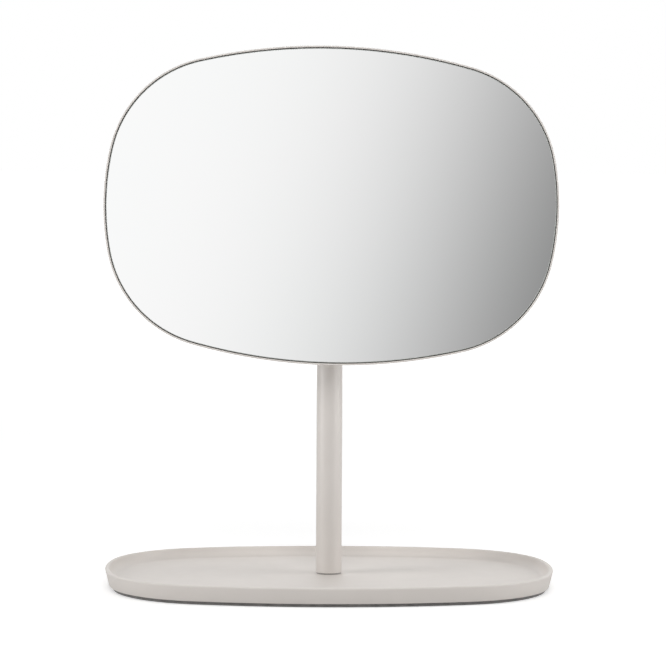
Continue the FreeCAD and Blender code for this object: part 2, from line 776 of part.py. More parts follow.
def make_disc_spring(label, outer, inner, height, thickness, **place):
    """Disc spring, standing on its outer edge."""
    body = new_body(label, **place)
    sketch = new_sketch(body, "XZ_Plane")
    draw_cone_ring(sketch, outer, inner, height, thickness, None)
    feature = body.newObject("PartDesign::Revolution", label + "_turning")
    feature.Profile = sketch
    feature.ReferenceAxis = (sketch, ["V_Axis"])
    feature.Angle = FULL_ANGLE
    return body


def make_tilt_spring():
    """Disc spring under the tilt bolt's head, which keeps the hinge tight."""
    return make_disc_spring(
        "tilt_disc_spring", "tilt_bolt_head_diameter", "tilt_bore", "tilt_spring_height",
        "tilt_spring_thickness", rotation=SIDEWAYS.multiply(Rotation(X_AXIS, STRAIGHT_ANGLE)),
        x="-ear_seat", y="post_offset", z="pivot_height",
    )


def make_tilt_knuckle():
    """Knuckle that tilts in the fork: an eye, a blade, a collar, a journal and a square end."""
    body = new_body("tilt_knuckle", FORWARD, y="post_offset", z="pivot_height")
    revolve(
        body,
        [("collar_diameter", "collar_length"), ("journal_diameter", "journal_length")],
        base="collar_level",
    )
    key = new_sketch(body, "XY_Plane", "disc_level")
    draw_polygon(key, SQUARE_SIDE_COUNT, "key_width")
    pad(body, key, "key_length")
    blade = new_sketch(body, "YZ_Plane")
    draw_profile(blade, [
        ("-blade_height / 2", None),
        ("blade_height / 2", None),
        ("blade_height / 2", "collar_level + collar_length / 2"),
        ("-blade_height / 2", "collar_level + collar_length / 2"),
    ])
    pad(body, blade, "eye_width", symmetric=True)
    eye = new_sketch(body, "YZ_Plane")
    draw_circle(eye, "eye_diameter")
    pad(body, eye, "eye_width", symmetric=True)
    bore = new_sketch(body, "YZ_Plane")
    draw_circle(bore, "tilt_bore")
    pocket(body, bore, "eye_width + overrun", symmetric=True)
    tapping = new_sketch(body, "XY_Plane", "disc_level + key_length")
    draw_circle(tapping, "turn_screw_diameter + 2 * seat_clearance")
    pocket(body, tapping, "turn_screw_length")
    return body


def make_turn_disc():
    """Disc on the knuckle's square end, gripped between the friction rings."""
    body = new_body("turn_disc", FORWARD, y="post_offset - disc_level", z="pivot_height")
    sketch = new_sketch(body, "XY_Plane")
    draw_circle(sketch, "turn_disc_diameter")
    draw_polygon(sketch, SQUARE_SIDE_COUNT, "key_width + 2 * seat_clearance")
    pad(body, sketch, "turn_disc_thickness")
    return body


def make_turn_screw():
    """Screw that holds the disc on the knuckle."""
    body = new_body(
        "turn_screw",
        FORWARD.multiply(Rotation(X_AXIS, STRAIGHT_ANGLE)),
        y="post_offset - disc_front_level - turn_screw_head_height",
        z="pivot_height",
    )
    revolve(body, [
        ("turn_screw_head_diameter", "turn_screw_head_height"),
        ("turn_screw_diameter", "turn_screw_length - key_gap"),
    ])
    socket = new_sketch(body, "XY_Plane")
    draw_polygon(socket, HEXAGON_SIDE_COUNT, "turn_socket_width")
    pocket(body, socket, "turn_socket_depth", forwards=True)
    return body


def make_turn_rings():
    """Friction rings on both faces of the turn disc."""
    bores = {"rear": "journal_diameter + 2 * turn_disc_gap", "front": "turn_spring_inner_diameter"}
    levels = {"rear": "hub_standoff + hub_rear_wall", "front": "disc_front_level"}
    rings = []
    for end, bore in bores.items():
        body = new_body("turn_ring_" + end, FORWARD, y=f"post_offset - ({levels[end]})", z="pivot_height")
        revolve(body, [("turn_disc_diameter", "turn_ring_thickness")], [(bore, None)])
        rings.append(body)
    return rings


def make_turn_springs():
    """Pair of disc springs, outer edge to outer edge, that press the rings on the disc."""
    outer = "turn_disc_diameter - 2 * turn_disc_gap"
    middle = "post_offset - spring_level - spring_height"
    rear = make_disc_spring(
        "turn_spring_rear", outer, "turn_spring_inner_diameter", "spring_height",
        "turn_spring_thickness", rotation=FORWARD.multiply(Rotation(X_AXIS, STRAIGHT_ANGLE)),
        y=middle, z="pivot_height",
    )
    front = make_disc_spring(
        "turn_spring_front", outer, "turn_spring_inner_diameter", "spring_height",
        "turn_spring_thickness", rotation=FORWARD, y=middle, z="pivot_height",
    )
    return [rear, front]


def head_body(label, level):
    """Sub-part of the head, rolled as the head stands, with its back at a level before the tilt axis."""
    rolled = FORWARD.multiply(Rotation(Z_AXIS, -value("head_roll")))
    return new_body(label, rolled, y=f"post_offset - {level}", z="pivot_height")


def screw_hole(body, level, diameter, depth):
    """One hole of the hub's screw circle, cut towards the back from a level of the body."""
    sketch = new_sketch(body, "XY_Plane", level)
    draw_circle(sketch, diameter, "hub_screw_reach", "hub_screw_reach")
    return pocket(body, sketch, depth)


def make_hub_housing():
    """Round housing of the turn joint, running on the knuckle's journal."""
    body = head_body("hub_housing", "hub_standoff")
    cup = revolve(
        body,
        [("hub_diameter", "hub_depth")],
        [("journal_bore", "hub_rear_wall"), ("hub_cavity", None)],
    )
    least = value("hub_diameter / 2 - hub_edge_radius")
    at_back = lies_at("0")
    dress(body, "Fillet", cup, lambda edge: at_back(edge) and edge.Curve.Radius > least, "hub_edge_radius")
    hole = screw_hole(body, "hub_depth", "hub_screw_diameter + 2 * seat_clearance", "hub_screw_length")
    pattern(body, [hole], HUB_SCREW_COUNT)
    return body


def make_hub_screws():
    """Countersunk screws from the carrier plate into the hub."""
    body = head_body("hub_screws", "(shell_floor_level + carrier_thickness - hub_screw_length)")
    sketch = new_sketch(body, "XY_Plane")
    place = ("hub_screw_reach", "hub_screw_reach")
    draw_circle(sketch, "hub_screw_diameter", *place)
    shank = pad(body, sketch, "hub_screw_length")
    neck = new_sketch(body, "XY_Plane", "hub_screw_length - hub_screw_head_depth")
    draw_circle(neck, "hub_screw_diameter", *place)
    face = new_sketch(body, "XY_Plane", "hub_screw_length")
    draw_circle(face, "hub_screw_head_diameter", *place)
    head = body.newObject("PartDesign::AdditiveLoft", body.Label + "_head")
    head.Profile = neck
    head.Sections = [face]
    pattern(body, [shank, head], HUB_SCREW_COUNT)
    return body


def make_back_shell():
    """Pressed back of the head: a shallow pan with a rounded back edge and a thin lip."""
    body = head_body("back_shell", "shell_level")
    floor = new_sketch(body, "XY_Plane")
    draw_outline(floor, "head", "(shell_edge - shell_floor_edge - floor_land / 2)")
    pad(body, floor, "shell_thickness")
    sweep_wall(body, "head", [
        ("shell_floor_edge", None),
        ("shell_edge", None, "shell_back_radius"),
        ("shell_edge", "shell_depth", "lip_radius"),
        ("shell_edge - shell_thickness", "shell_depth", "lip_radius"),
        ("shell_edge - shell_thickness", "shell_thickness", "shell_back_radius - shell_thickness"),
        ("shell_floor_edge", "shell_thickness"),
    ])
    hole = screw_hole(body, "shell_thickness", "hub_screw_hole", "shell_thickness + overrun")
    pattern(body, [hole], HUB_SCREW_COUNT)
    return body


def make_carrier_plate():
    """Plate inside the shell that spreads the hub screws' pull."""
    body = head_body("carrier_plate", "shell_floor_level")
    sketch = new_sketch(body, "XY_Plane")
    draw_circle(sketch, "carrier_diameter")
    pad(body, sketch, "carrier_thickness")
    hole = screw_hole(body, "carrier_thickness", "hub_screw_hole", "carrier_thickness + overrun")
    holes = pattern(body, [hole], HUB_SCREW_COUNT)
    widest = value("hub_screw_pitch / 2")
    in_front = lies_at("carrier_thickness")
    dress(body, "Chamfer", holes, lambda edge: in_front(edge) and edge.Curve.Radius < widest, "countersink")
    return body


def make_foam_tape():
    """Double-sided foam sheet that holds the glass, open round the carrier plate."""
    body = head_body("foam_tape", "shell_floor_level")
    sketch = new_sketch(body, "XY_Plane")
    draw_outline(sketch, "head", "foam_inset")
    draw_circle(sketch, "carrier_diameter + 2 * foam_opening_gap")
    pad(body, sketch, "foam_thickness")
    return body


def make_mirror_glass():
    """Silvered glass with a small bevel round its front edge."""
    body = head_body("mirror_glass", "glass_level")
    sketch = new_sketch(body, "XY_Plane")
    draw_outline(sketch, "head", "glass_inset")
    pane = pad(body, sketch, "glass_thickness")
    dress(body, "Chamfer", pane, lies_at("glass_thickness"), "glass_arris")
    return body


def flatten(made):
    """List of bodies from single bodies and lists of bodies."""
    bodies = []
    for item in made:
        bodies.extend(item if isinstance(item, list) else [item])
    return bodies


def check(bodies):
    """Stop if any object failed or any sub-part has no sound solid."""
    for item in doc.Objects:
        if {"Invalid", "Error"} & set(item.State):
            raise RuntimeError(f"{item.Label} failed: {item.State}")
    for body in bodies:
        if body.Shape.isNull() or not body.Shape.isValid() or not body.Shape.Solids:
            raise RuntimeError(f"{body.Label} has no sound solid")


def main():
    """Build every sub-part, check it and write it to its own file."""
    bodies = flatten([
        make_tray(),
        make_base_plate(),
        make_base_pad(),
        make_base_washer(),
        make_base_screw(),
        make_foot_gasket(),
        make_foot_insert(),
        make_post_tube(),
        make_tilt_fork(),
        make_fork_set_screw(),
        make_tilt_bolt(),
        make_tilt_nut(),
        make_tilt_washers(),
        make_tilt_spring(),
        make_tilt_knuckle(),
        make_turn_disc(),
        make_turn_screw(),
        make_turn_rings(),
        make_turn_springs(),
        make_hub_housing(),
        make_hub_screws(),
        make_back_shell(),
        make_carrier_plate(),
        make_foam_tape(),
        make_mirror_glass(),
    ])
    doc.recompute()
    check(bodies)
    os.makedirs("parts", exist_ok=True)
    for body in bodies:
        body.Shape.exportStep(f"parts/{body.Label}.step")
        print(f"{body.Label}: {len(body.Shape.Solids)} solid(s), {body.Shape.Volume:.1f} mm3")


main()
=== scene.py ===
"""Looks of a table mirror: a glass in a thin shell that tilts and turns on a post, over a tray."""
import logging
import math
from abc import ABC, abstractmethod
from dataclasses import dataclass, field
from enum import Enum

import bmesh
import bpy
from mathutils import Matrix, Vector


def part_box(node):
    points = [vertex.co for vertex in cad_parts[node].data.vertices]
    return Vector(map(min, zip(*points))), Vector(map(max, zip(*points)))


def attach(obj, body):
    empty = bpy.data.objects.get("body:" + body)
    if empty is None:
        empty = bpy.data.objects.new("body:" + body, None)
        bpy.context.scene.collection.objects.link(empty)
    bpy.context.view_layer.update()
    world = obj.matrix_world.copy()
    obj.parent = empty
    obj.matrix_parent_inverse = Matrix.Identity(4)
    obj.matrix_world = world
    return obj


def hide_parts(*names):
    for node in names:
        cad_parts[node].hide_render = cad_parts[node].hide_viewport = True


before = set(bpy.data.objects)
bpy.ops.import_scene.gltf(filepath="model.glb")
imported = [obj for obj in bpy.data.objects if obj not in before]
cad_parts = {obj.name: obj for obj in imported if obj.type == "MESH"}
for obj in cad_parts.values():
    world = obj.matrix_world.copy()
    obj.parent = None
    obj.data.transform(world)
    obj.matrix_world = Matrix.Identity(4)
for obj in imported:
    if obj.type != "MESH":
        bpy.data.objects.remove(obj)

LOG = logging.getLogger("table_mirror")
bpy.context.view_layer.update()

# Furthest that a straight edge of a mesh may stand off the curve it follows, in metres
CHORD_SLACK = 0.000008
# Points closer than this are one point
WELD = 0.0000005
# Edges that fold more than this stay crisp
CRISP_ANGLE = math.radians(35)
# Faces that fold less than this are one face
FLAT_ANGLE = math.radians(0.5)
# Upright share of a normal past which a face counts as level
LEVEL = 0.99
# How far a cutting shape runs on past the face that it cuts
OVERRUN = 0.002
# Values that most of a noise lies between
NOISE_QUARTERS = (0.3, 0.7)
WHOLE_TURN = 2 * math.pi
SQUARE, HEXAGON = 4, 6
Y_AXIS = Vector((0, 1, 0))
Z_AXIS = Vector((0, 0, 1))
# Turns of a piece modelled upright: none, its top to the right, its top to the front
UPRIGHT = Matrix.Identity(4)
SIDEWAYS = Matrix.Rotation(math.pi / 2, 4, "Y")
FORWARD = Matrix.Rotation(math.pi / 2, 4, "X")
# Turn of a piece modelled towards the right: its far end to the front
RIGHT_TO_FRONT = Matrix.Rotation(-math.pi / 2, 4, "Z")

Colour = tuple[float, float, float, float]
Triple = tuple[float, float, float]
Span = tuple[float, float]
Piece = bpy.types.Object
Socket = bpy.types.NodeSocket


class Body(Enum):
    """Bodies that the pieces ride on."""

    STAND = "stand"
    KNUCKLE = "knuckle"
    HEAD = "head"


class Slot(Enum):
    """Material slots of the record."""

    TRAY_PAINT = "tray_paint"
    POST_PAINT = "post_paint"
    FORK_PAINT = "fork_paint"
    HUB_PAINT = "hub_paint"
    SHELL_PAINT = "shell_paint"
    PLATE_STEEL = "plate_steel"
    ZINC_STEEL = "zinc_steel"
    BLACK_STEEL = "black_steel"
    SPRING_STEEL = "spring_steel"
    FRICTION_PLASTIC = "friction_plastic"
    PAD_RUBBER = "pad_rubber"
    GASKET_RUBBER = "gasket_rubber"
    FOAM = "foam"
    MIRROR = "mirror"


class Join(Enum):
    """Ways to combine a piece with another."""

    ADD = "UNION"
    CUT = "DIFFERENCE"
    KEEP = "INTERSECT"


class Detail(Enum):
    """Finer layers of a noise."""

    SMOOTH = 1.0
    PLAIN = 2.0
    CLOUDY = 3.0
    GRITTY = 4.0


class Passage(Enum):
    """Ways to pass from one value to another."""

    STRAIGHT = "LINEAR"
    SMOOTH = "SMOOTHSTEP"


def grey(level: float, warmth: float = 0.0) -> Colour:
    """Neutral colour of a linear level, tinted towards yellow by a share."""
    return (level * (1 + warmth), level, level * (1 - warmth), 1.0)


def scaled(colour: Colour, share: float) -> Colour:
    """Colour with its three channels times a share."""
    return (*(channel * share for channel in colour[:3]), 1.0)


class Nodes:
    """Node tree of a material or a world, built a node at a time."""

    def __init__(self, tree: bpy.types.NodeTree) -> None:
        """Take up a tree."""
        self.tree = tree

    def add(self, kind: str, *sources: Socket, **settings: object) -> bpy.types.Node:
        """Add a node.

        Args:
            kind: Type of the node, without its Shader and Node words.
            sources: Sockets that its first inputs are linked to.
            settings: Properties of the node.

        Returns:
            The node.
        """
        node = self.tree.nodes.new("ShaderNode" + kind)
        for name, value in settings.items():
            setattr(node, name, value)
        for source, socket in zip(sources, node.inputs):
            self.tree.links.new(source, socket)
        return node

    def ramp(self, source: Socket, ends: Span, values: Span, passage: Passage) -> Socket:
        """Pass from one value to another.

        Args:
            source: Value that leads.
            ends: Where the passage starts and stops.
            values: Values before and after it.
            passage: Way to pass.

        Returns:
            The value.
        """
        node = self.add("MapRange", source, interpolation_type=passage.value)
        for name, value in zip(("From Min", "From Max", "To Min", "To Max"), ends + values):
            node.inputs[name].default_value = value
        return node.outputs["Result"]


class Shader(Nodes):
    """Node tree of one finish, on the piece's own coordinates."""

    def __init__(self, name: str) -> None:
        """Start a material from its principled shader.

        Args:
            name: Name of the material.
        """
        self.material = bpy.data.materials.new(name)
        self.material.use_nodes = True
        super().__init__(self.material.node_tree)
        self.surface = self.tree.nodes["Principled BSDF"]
        self.place = self.add("TexCoord").outputs["Object"]

    def set(self, **values: float) -> None:
        """Set sockets of the principled shader that are the same all over."""
        for name, value in values.items():
            self.surface.inputs[name].default_value = value

    def join(self, source: Socket, name: str) -> None:
        """Link a source to a socket of the principled shader."""
        self.tree.links.new(source, self.surface.inputs[name])

    def noise(self, size: float, detail: Detail, stretch: Triple = (1, 1, 1)) -> Socket:
        """Cloudy noise.

        Args:
            size: Size of its largest clouds, in metres.
            detail: Its finer layers.
            stretch: Share of the size along each axis.

        Returns:
            The noise's value.
        """
        mapping = self.add("Mapping", self.place)
        mapping.inputs["Scale"].default_value = [1 / (size * share) for share in stretch]
        node = self.add("TexNoise", mapping.outputs["Vector"])
        node.inputs["Scale"].default_value = 1.0
        node.inputs["Detail"].default_value = detail.value
        return node.outputs["Fac"]

    def cells(self, size: float) -> Socket:
        """Cells, by the distance to the middle of the nearest.

        Args:
            size: Size of a cell, in metres.

        Returns:
            The distance.
        """
        node = self.add("TexVoronoi", self.place)
        node.inputs["Scale"].default_value = 1 / size
        return node.outputs["Distance"]

    def mottle(self, cloud: Socket, low: Colour, high: Colour) -> None:
        """Let the base colour drift between two.

        Args:
            cloud: Noise that leads.
            low: Colour at the noise's lower quarter.
            high: Colour at its upper quarter.
        """
        share = self.ramp(cloud, NOISE_QUARTERS, (0.0, 1.0), Passage.STRAIGHT)
        node = self.add("Mix", share, data_type="RGBA")
        sockets = [socket for socket in node.inputs if socket.type == "RGBA"]
        for socket, colour in zip(sockets, (low, high)):
            socket.default_value = colour
        self.join(next(socket for socket in node.outputs if socket.type == "RGBA"), "Base Color")

    def gloss(self, cloud: Socket, roughness: float, swing: float) -> None:
        """Let the roughness swing about a value with a noise."""
        values = roughness - swing, roughness + swing
        self.join(self.ramp(cloud, NOISE_QUARTERS, values, Passage.STRAIGHT), "Roughness")

    def relief(self, height: Socket, depth: float) -> None:
        """Raise a fine relief.

        Args:
            height: Value from 0 to 1.
            depth: Height that 1 stands for, in metres.
        """
        node = self.add("Bump")
        node.inputs["Distance"].default_value = depth
        self.tree.links.new(height, node.inputs["Height"])
        self.join(node.outputs["Normal"], "Normal")


@dataclass(frozen=True)
class Finish(ABC):
    """Finish of a surface, which makes its material on first use."""

    name: str
    slot: Slot

    def material(self) -> bpy.types.Material:
        """Make the material, or find it.

        Returns:
            The material.
        """
        made = bpy.data.materials.get(self.name)
        if made:
            return made
        shader = Shader(self.name)
        self.dress(shader)
        return shader.material

    @abstractmethod
    def dress(self, shader: Shader) -> None:
        """Lay the finish's nodes in a shader."""


@dataclass(frozen=True)
class PowderCoat(Finish):
    """Satin powder coat: a colour that drifts a little, over a fine orange peel."""

    colour: Colour
    drift: float = 0.02
    cloud_size: float = 0.03
    roughness: float = 0.42
    swing: float = 0.03
    sheen_size: float = 0.008
    index: float = 1.9
    peel_size: float = 0.0022
    peel_depth: float = 0.000008

    def dress(self, shader: Shader) -> None:
        """Lay the coat's colour drift, gloss drift and peel.

        Args:
            shader: The material's node tree.
        """
        darker, lighter = scaled(self.colour, 1 - self.drift), scaled(self.colour, 1 + self.drift)
        shader.mottle(shader.noise(self.cloud_size, Detail.CLOUDY), darker, lighter)
        shader.gloss(shader.noise(self.sheen_size, Detail.CLOUDY), self.roughness, self.swing)
        shader.relief(shader.noise(self.peel_size, Detail.PLAIN), self.peel_depth)
        shader.set(IOR=self.index)


@dataclass(frozen=True)
class Silvering(Finish):
    """Silvered face of the mirror, with a trace of the glass's own tint."""

    reflectance: float = 0.93
    red_loss: float = 0.008
    blue_loss: float = 0.002
    cloud_size: float = 0.12
    haze: float = 0.006

    def dress(self, shader: Shader) -> None:
        """Lay the silver's faint drift of tint.

        Args:
            shader: The material's node tree.
        """
        level = self.reflectance
        cool = (level - self.red_loss, level, level - self.blue_loss, 1.0)
        shader.mottle(shader.noise(self.cloud_size, Detail.SMOOTH), cool, grey(level))
        shader.set(Metallic=1.0, Roughness=self.haze)


@dataclass(frozen=True)
class GroundEdge(Finish):
    """Ground edge of the glass: grey, a little green, with fine grinding marks along it."""

    colour: Colour = (0.5, 0.525, 0.51, 1.0)
    lift: float = 1.4
    roughness: float = 0.35
    swing: float = 0.1
    mark_size: float = 0.0004
    mark_depth: float = 0.00001
    grain: Triple = (6, 1, 6)

    def dress(self, shader: Shader) -> None:
        """Lay the grinding marks and their gloss.

        Args:
            shader: The material's node tree.
        """
        marks = shader.noise(self.mark_size, Detail.GRITTY, self.grain)
        shader.mottle(marks, self.colour, scaled(self.colour, self.lift))
        shader.gloss(marks, self.roughness, self.swing)
        shader.relief(marks, self.mark_depth)


@dataclass(frozen=True)
class Rubber(Finish):
    """Dark matt rubber or foam, with fine pores."""

    colour: Colour
    dust: float = 1.5
    dust_size: float = 0.006
    pore_size: float = 0.0006
    pore_depth: float = 0.00006
    roughness: float = 0.85

    def dress(self, shader: Shader) -> None:
        """Lay the rubber's pores and its dusty drift of colour.

        Args:
            shader: The material's node tree.
        """
        cloud = shader.noise(self.dust_size, Detail.GRITTY)
        shader.mottle(cloud, self.colour, scaled(self.colour, self.dust))
        shader.relief(shader.cells(self.pore_size), self.pore_depth)
        shader.set(Roughness=self.roughness)


@dataclass(frozen=True)
class Metal(Finish):
    """Bare or plated metal, with fine marks and clouds in its gloss."""

    colour: Colour
    roughness: float = 0.3
    swing: float = 0.08
    shade: float = 0.86
    cloud_size: float = 0.004
    mark_size: float = 0.0008
    mark_depth: float = 0.000006
    grain: Triple = (1, 1, 1)

    def dress(self, shader: Shader) -> None:
        """Lay the metal's marks, tint and gloss.

        Args:
            shader: The material's node tree.
        """
        marks = shader.noise(self.mark_size, Detail.GRITTY, self.grain)
        cloud = shader.noise(self.cloud_size, Detail.CLOUDY)
        shader.mottle(cloud, scaled(self.colour, self.shade), self.colour)
        shader.gloss(marks, self.roughness, self.swing)
        shader.relief(marks, self.mark_depth)
        shader.set(Metallic=1.0)


@dataclass(frozen=True)
class Plastic(Finish):
    """Moulded plastic with a faint grain."""

    colour: Colour
    roughness: float = 0.4
    shade: float = 0.93
    cloud_size: float = 0.005
    grain_size: float = 0.0005
    grain_depth: float = 0.00001

    def dress(self, shader: Shader) -> None:
        """Lay the plastic's grain and drift of colour.

        Args:
            shader: The material's node tree.
        """
        cloud = shader.noise(self.cloud_size, Detail.PLAIN)
        shader.mottle(cloud, scaled(self.colour, self.shade), self.colour)
        shader.relief(shader.noise(self.grain_size, Detail.PLAIN), self.grain_depth)
        shader.set(Roughness=self.roughness)


GREIGE: Colour = (0.66, 0.62, 0.585, 1.0)
TRAY_COAT = PowderCoat("tray_coat", Slot.TRAY_PAINT, GREIGE, roughness=0.5, index=1.5)
POST_COAT = PowderCoat("post_coat", Slot.POST_PAINT, GREIGE)
FORK_COAT = PowderCoat("fork_coat", Slot.FORK_PAINT, GREIGE)
HUB_COAT = PowderCoat("hub_coat", Slot.HUB_PAINT, GREIGE)
SHELL_COAT = PowderCoat("shell_coat", Slot.SHELL_PAINT, GREIGE)
SILVERING = Silvering("silvering", Slot.MIRROR)
GROUND_EDGE = GroundEdge("ground_edge", Slot.MIRROR)
BACKING = PowderCoat("mirror_backing", Slot.MIRROR, grey(0.18), roughness=0.6, index=1.5)
PAD_RUBBER = Rubber("foamed_pad", Slot.PAD_RUBBER, grey(0.16, 0.03))
GASKET_RUBBER = Rubber(
    "smooth_gasket", Slot.GASKET_RUBBER, grey(0.26, 0.03), pore_depth=0.00001, roughness=0.6,
)
FOAM_TAPE = Rubber("foam_sheet", Slot.FOAM, grey(0.03), pore_size=0.0004)
MILL_STEEL = Metal("mill_steel", Slot.PLATE_STEEL, grey(0.42), 0.42, grain=(8, 1, 1))
ZINC_STEEL = Metal("zinc_steel_plate", Slot.ZINC_STEEL, grey(0.62, 0.01), 0.3)
BLACK_STEEL = Metal("black_oxide", Slot.BLACK_STEEL, grey(0.05), 0.45)
SPRING_STEEL = Metal("blued_spring", Slot.SPRING_STEEL, (0.2, 0.21, 0.24, 1.0), 0.28)
ACETAL = Plastic("acetal", Slot.FRICTION_PLASTIC, grey(0.72, 0.02))


@dataclass(frozen=True)
class Corner:
    """Corner of a section: its reach from the middle, its height, and the radius that rounds it."""

    reach: float
    height: float
    radius: float = 0.0

    def point(self) -> Vector:
        """Place of the corner in the plane of a section."""
        return Vector((self.reach, 0, self.height))


@dataclass(frozen=True)
class Hole:
    """Round hole through a plate."""

    x: float
    y: float
    radius: float


def arc_steps(radius: float, turn: float) -> int:
    """Number of straight edges, at least two, that follow an arc within the chord slack."""
    widest = 2 * math.acos(max(1 - CHORD_SLACK / radius, 0))
    return max(2, math.ceil(abs(turn) / widest))


@dataclass(frozen=True)
class Outline:
    """Rounded outline of tangent arcs about the middle of a piece, three to a quarter."""

    half_length: float
    half_depth: float
    corner_radius: float
    side_end: float = math.radians(11.56)
    corner_end: float = math.radians(75.81)

    def quarter(self) -> list[tuple[Vector, float, float]]:
        """Arcs of one quarter, from the end of the long axis to the end of the short one.

        Returns:
            Centre, turn and radius of the side, corner and long arcs.
        """
        first, last, corner = self.side_end, self.corner_end, self.corner_radius
        rest_x = self.half_length - corner * (math.cos(first) - math.cos(last))
        rest_y = self.half_depth - corner * (math.sin(last) - math.sin(first))
        rise = 1 - math.cos(first)
        fall = 1 - math.sin(last)
        blend = rise * fall - math.cos(last) * math.sin(first)
        side = (rest_x * fall - math.cos(last) * rest_y) / blend
        long = (rise * rest_y - math.sin(first) * rest_x) / blend
        right = Vector((self.half_length - side, 0, 0))
        knee = right + (side - corner) * Vector((math.cos(first), math.sin(first), 0))
        top = Vector((0, self.half_depth - long, 0))
        return [
            (right, first, side),
            (knee, last - first, corner),
            (top, math.pi / 2 - last, long),
        ]


class Bench:
    """Edit mode on one new piece, with the moves that the pieces share."""

    def __init__(self, name: str) -> None:
        """Start a piece as one point at the origin.

        Args:
            name: Name of the piece.
        """
        bpy.ops.object.select_all(action="DESELECT")
        bpy.ops.mesh.primitive_plane_add()
        self.piece = bpy.context.object
        self.piece.name = name
        self.piece.data.name = name
        bpy.ops.object.mode_set(mode="EDIT")
        bpy.ops.mesh.merge(type="CENTER")
        self.at = Vector()

    def line_to(self, point: Vector) -> None:
        """Draw a straight edge from the last point."""
        bpy.ops.mesh.extrude_region_move(TRANSFORM_OT_translate={"value": point - self.at})
        self.at = point

    def spin(self, centre: Vector, axis: Vector, turn: float, steps: int) -> None:
        """Sweep what is selected about an axis, the way that a right hand's fingers point."""
        bpy.ops.mesh.spin(steps=steps, angle=-turn, center=centre, axis=axis)

    def draw(self, section: list[Corner]) -> None:
        """Draw a section's edge through its corners, with arcs at the rounded ones.

        Args:
            section: Corners in order, of which the first and the last aren't rounded.
        """
        points = [corner.point() for corner in section]
        bpy.ops.transform.translate(value=points[0])
        self.at = points[0]
        nexts = points[2:] + points[:1]
        for before, corner, at, after in zip(points, section[1:], points[1:], nexts):
            if not corner.radius:
                self.line_to(at)
                continue
            back = (before - at).normalized()
            ahead = (after - at).normalized()
            half = back.angle(ahead) / 2
            tangent = corner.radius / math.tan(half)
            centre = at + (back + ahead).normalized() * (corner.radius / math.sin(half))
            turn = math.copysign(math.pi - 2 * half, -back.cross(ahead).dot(Y_AXIS))
            self.line_to(at + back * tangent)
            self.spin(centre, Y_AXIS, turn, arc_steps(corner.radius, turn))
            self.at = at + ahead * tangent

    def sweep(self, outline: Outline) -> None:
        """Sweep the drawn section round an outline, a quarter first and then its mirror images.

        Args:
            outline: The outline.
        """
        bpy.ops.mesh.select_all(action="SELECT")
        for centre, turn, radius in outline.quarter():
            self.spin(centre, Z_AXIS, turn, arc_steps(radius, turn))
        bpy.ops.object.mode_set(mode="OBJECT")
        mirror = self.piece.modifiers.new("quarters", "MIRROR")
        mirror.use_axis = (True, True, False)
        mirror.merge_threshold = WELD
        bpy.ops.object.modifier_apply(modifier=mirror.name)
        bpy.ops.object.mode_set(mode="EDIT")

    def turn(self, sides: int | None) -> None:
        """Turn the drawn section right round the upright axis.

        Args:
            sides: Number of flat sides, where the piece isn't round.
        """
        bpy.ops.mesh.select_all(action="SELECT")
        mesh = bmesh.from_edit_mesh(self.piece.data)
        widest = max(vertex.co.x for vertex in mesh.verts)
        self.spin(Vector(), Z_AXIS, WHOLE_TURN, sides or arc_steps(widest, WHOLE_TURN))
        self.weld()

    def weld(self) -> None:
        """Join points that lie together."""
        bpy.ops.mesh.select_all(action="SELECT")
        bpy.ops.mesh.remove_doubles(threshold=WELD)

    def punch(self, hole: Hole, upper: float, lower: float) -> None:
        """Add the wall of a hole between two heights.

        Args:
            hole: The hole's place and size.
            upper: Height of its upper rim.
            lower: Height of its lower rim.
        """
        bpy.ops.mesh.select_all(action="DESELECT")
        bpy.ops.mesh.primitive_circle_add(
            vertices=arc_steps(hole.radius, WHOLE_TURN),
            radius=hole.radius,
            location=(hole.x, hole.y, upper),
        )
        drop = (0, 0, lower - upper)
        bpy.ops.mesh.extrude_region_move(TRANSFORM_OT_translate={"value": drop})

    def fill(self, height: float) -> None:
        """Close the open rims at a height with flat faces, and leave the holes in them open.

        Args:
            height: Height of the rims.
        """
        bpy.ops.mesh.select_all(action="DESELECT")
        mesh = bmesh.from_edit_mesh(self.piece.data)
        for edge in mesh.edges:
            level = all(abs(vertex.co.z - height) < WELD for vertex in edge.verts)
            edge.select_set(level and len(edge.link_faces) < 2)
        bmesh.update_edit_mesh(self.piece.data)
        bpy.ops.mesh.fill()

    def finish(self) -> Piece:
        """Weld the piece, turn its faces outwards and shade it.

        Returns:
            The piece, in object mode.
        """
        self.weld()
        bpy.ops.mesh.normals_make_consistent(inside=False)
        bpy.ops.object.mode_set(mode="OBJECT")
        bpy.ops.object.shade_smooth_by_angle(angle=CRISP_ANGLE)
        return self.piece


def swept_plate(name: str, outline: Outline, section: list[Corner], holes: list[Hole]) -> Piece:
    """Plate whose edge section runs round an outline and whose faces are flat.

    Args:
        name: Name of the piece.
        outline: Outline at the section's zero inset.
        section: Edge section, from one flat face round to the other.
        holes: Holes through both faces.

    Returns:
        The piece.
    """
    bench = Bench(name)
    bench.draw(section)
    bench.sweep(outline)
    faces = section[0].height, section[-1].height
    for hole in holes:
        bench.punch(hole, *faces)
    for height in faces:
        bench.fill(height)
    return bench.finish()


def turned(name: str, section: list[Corner], sides: int | None = None) -> Piece:
    """Piece turned about the upright axis through the origin.

    Args:
        name: Name of the piece.
        section: Section that starts and ends on the axis, or that ends where it starts.
        sides: Number of flat sides, where the piece isn't round.

    Returns:
        The piece.
    """
    bench = Bench(name)
    bench.draw(section)
    bench.turn(sides)
    return bench.finish()


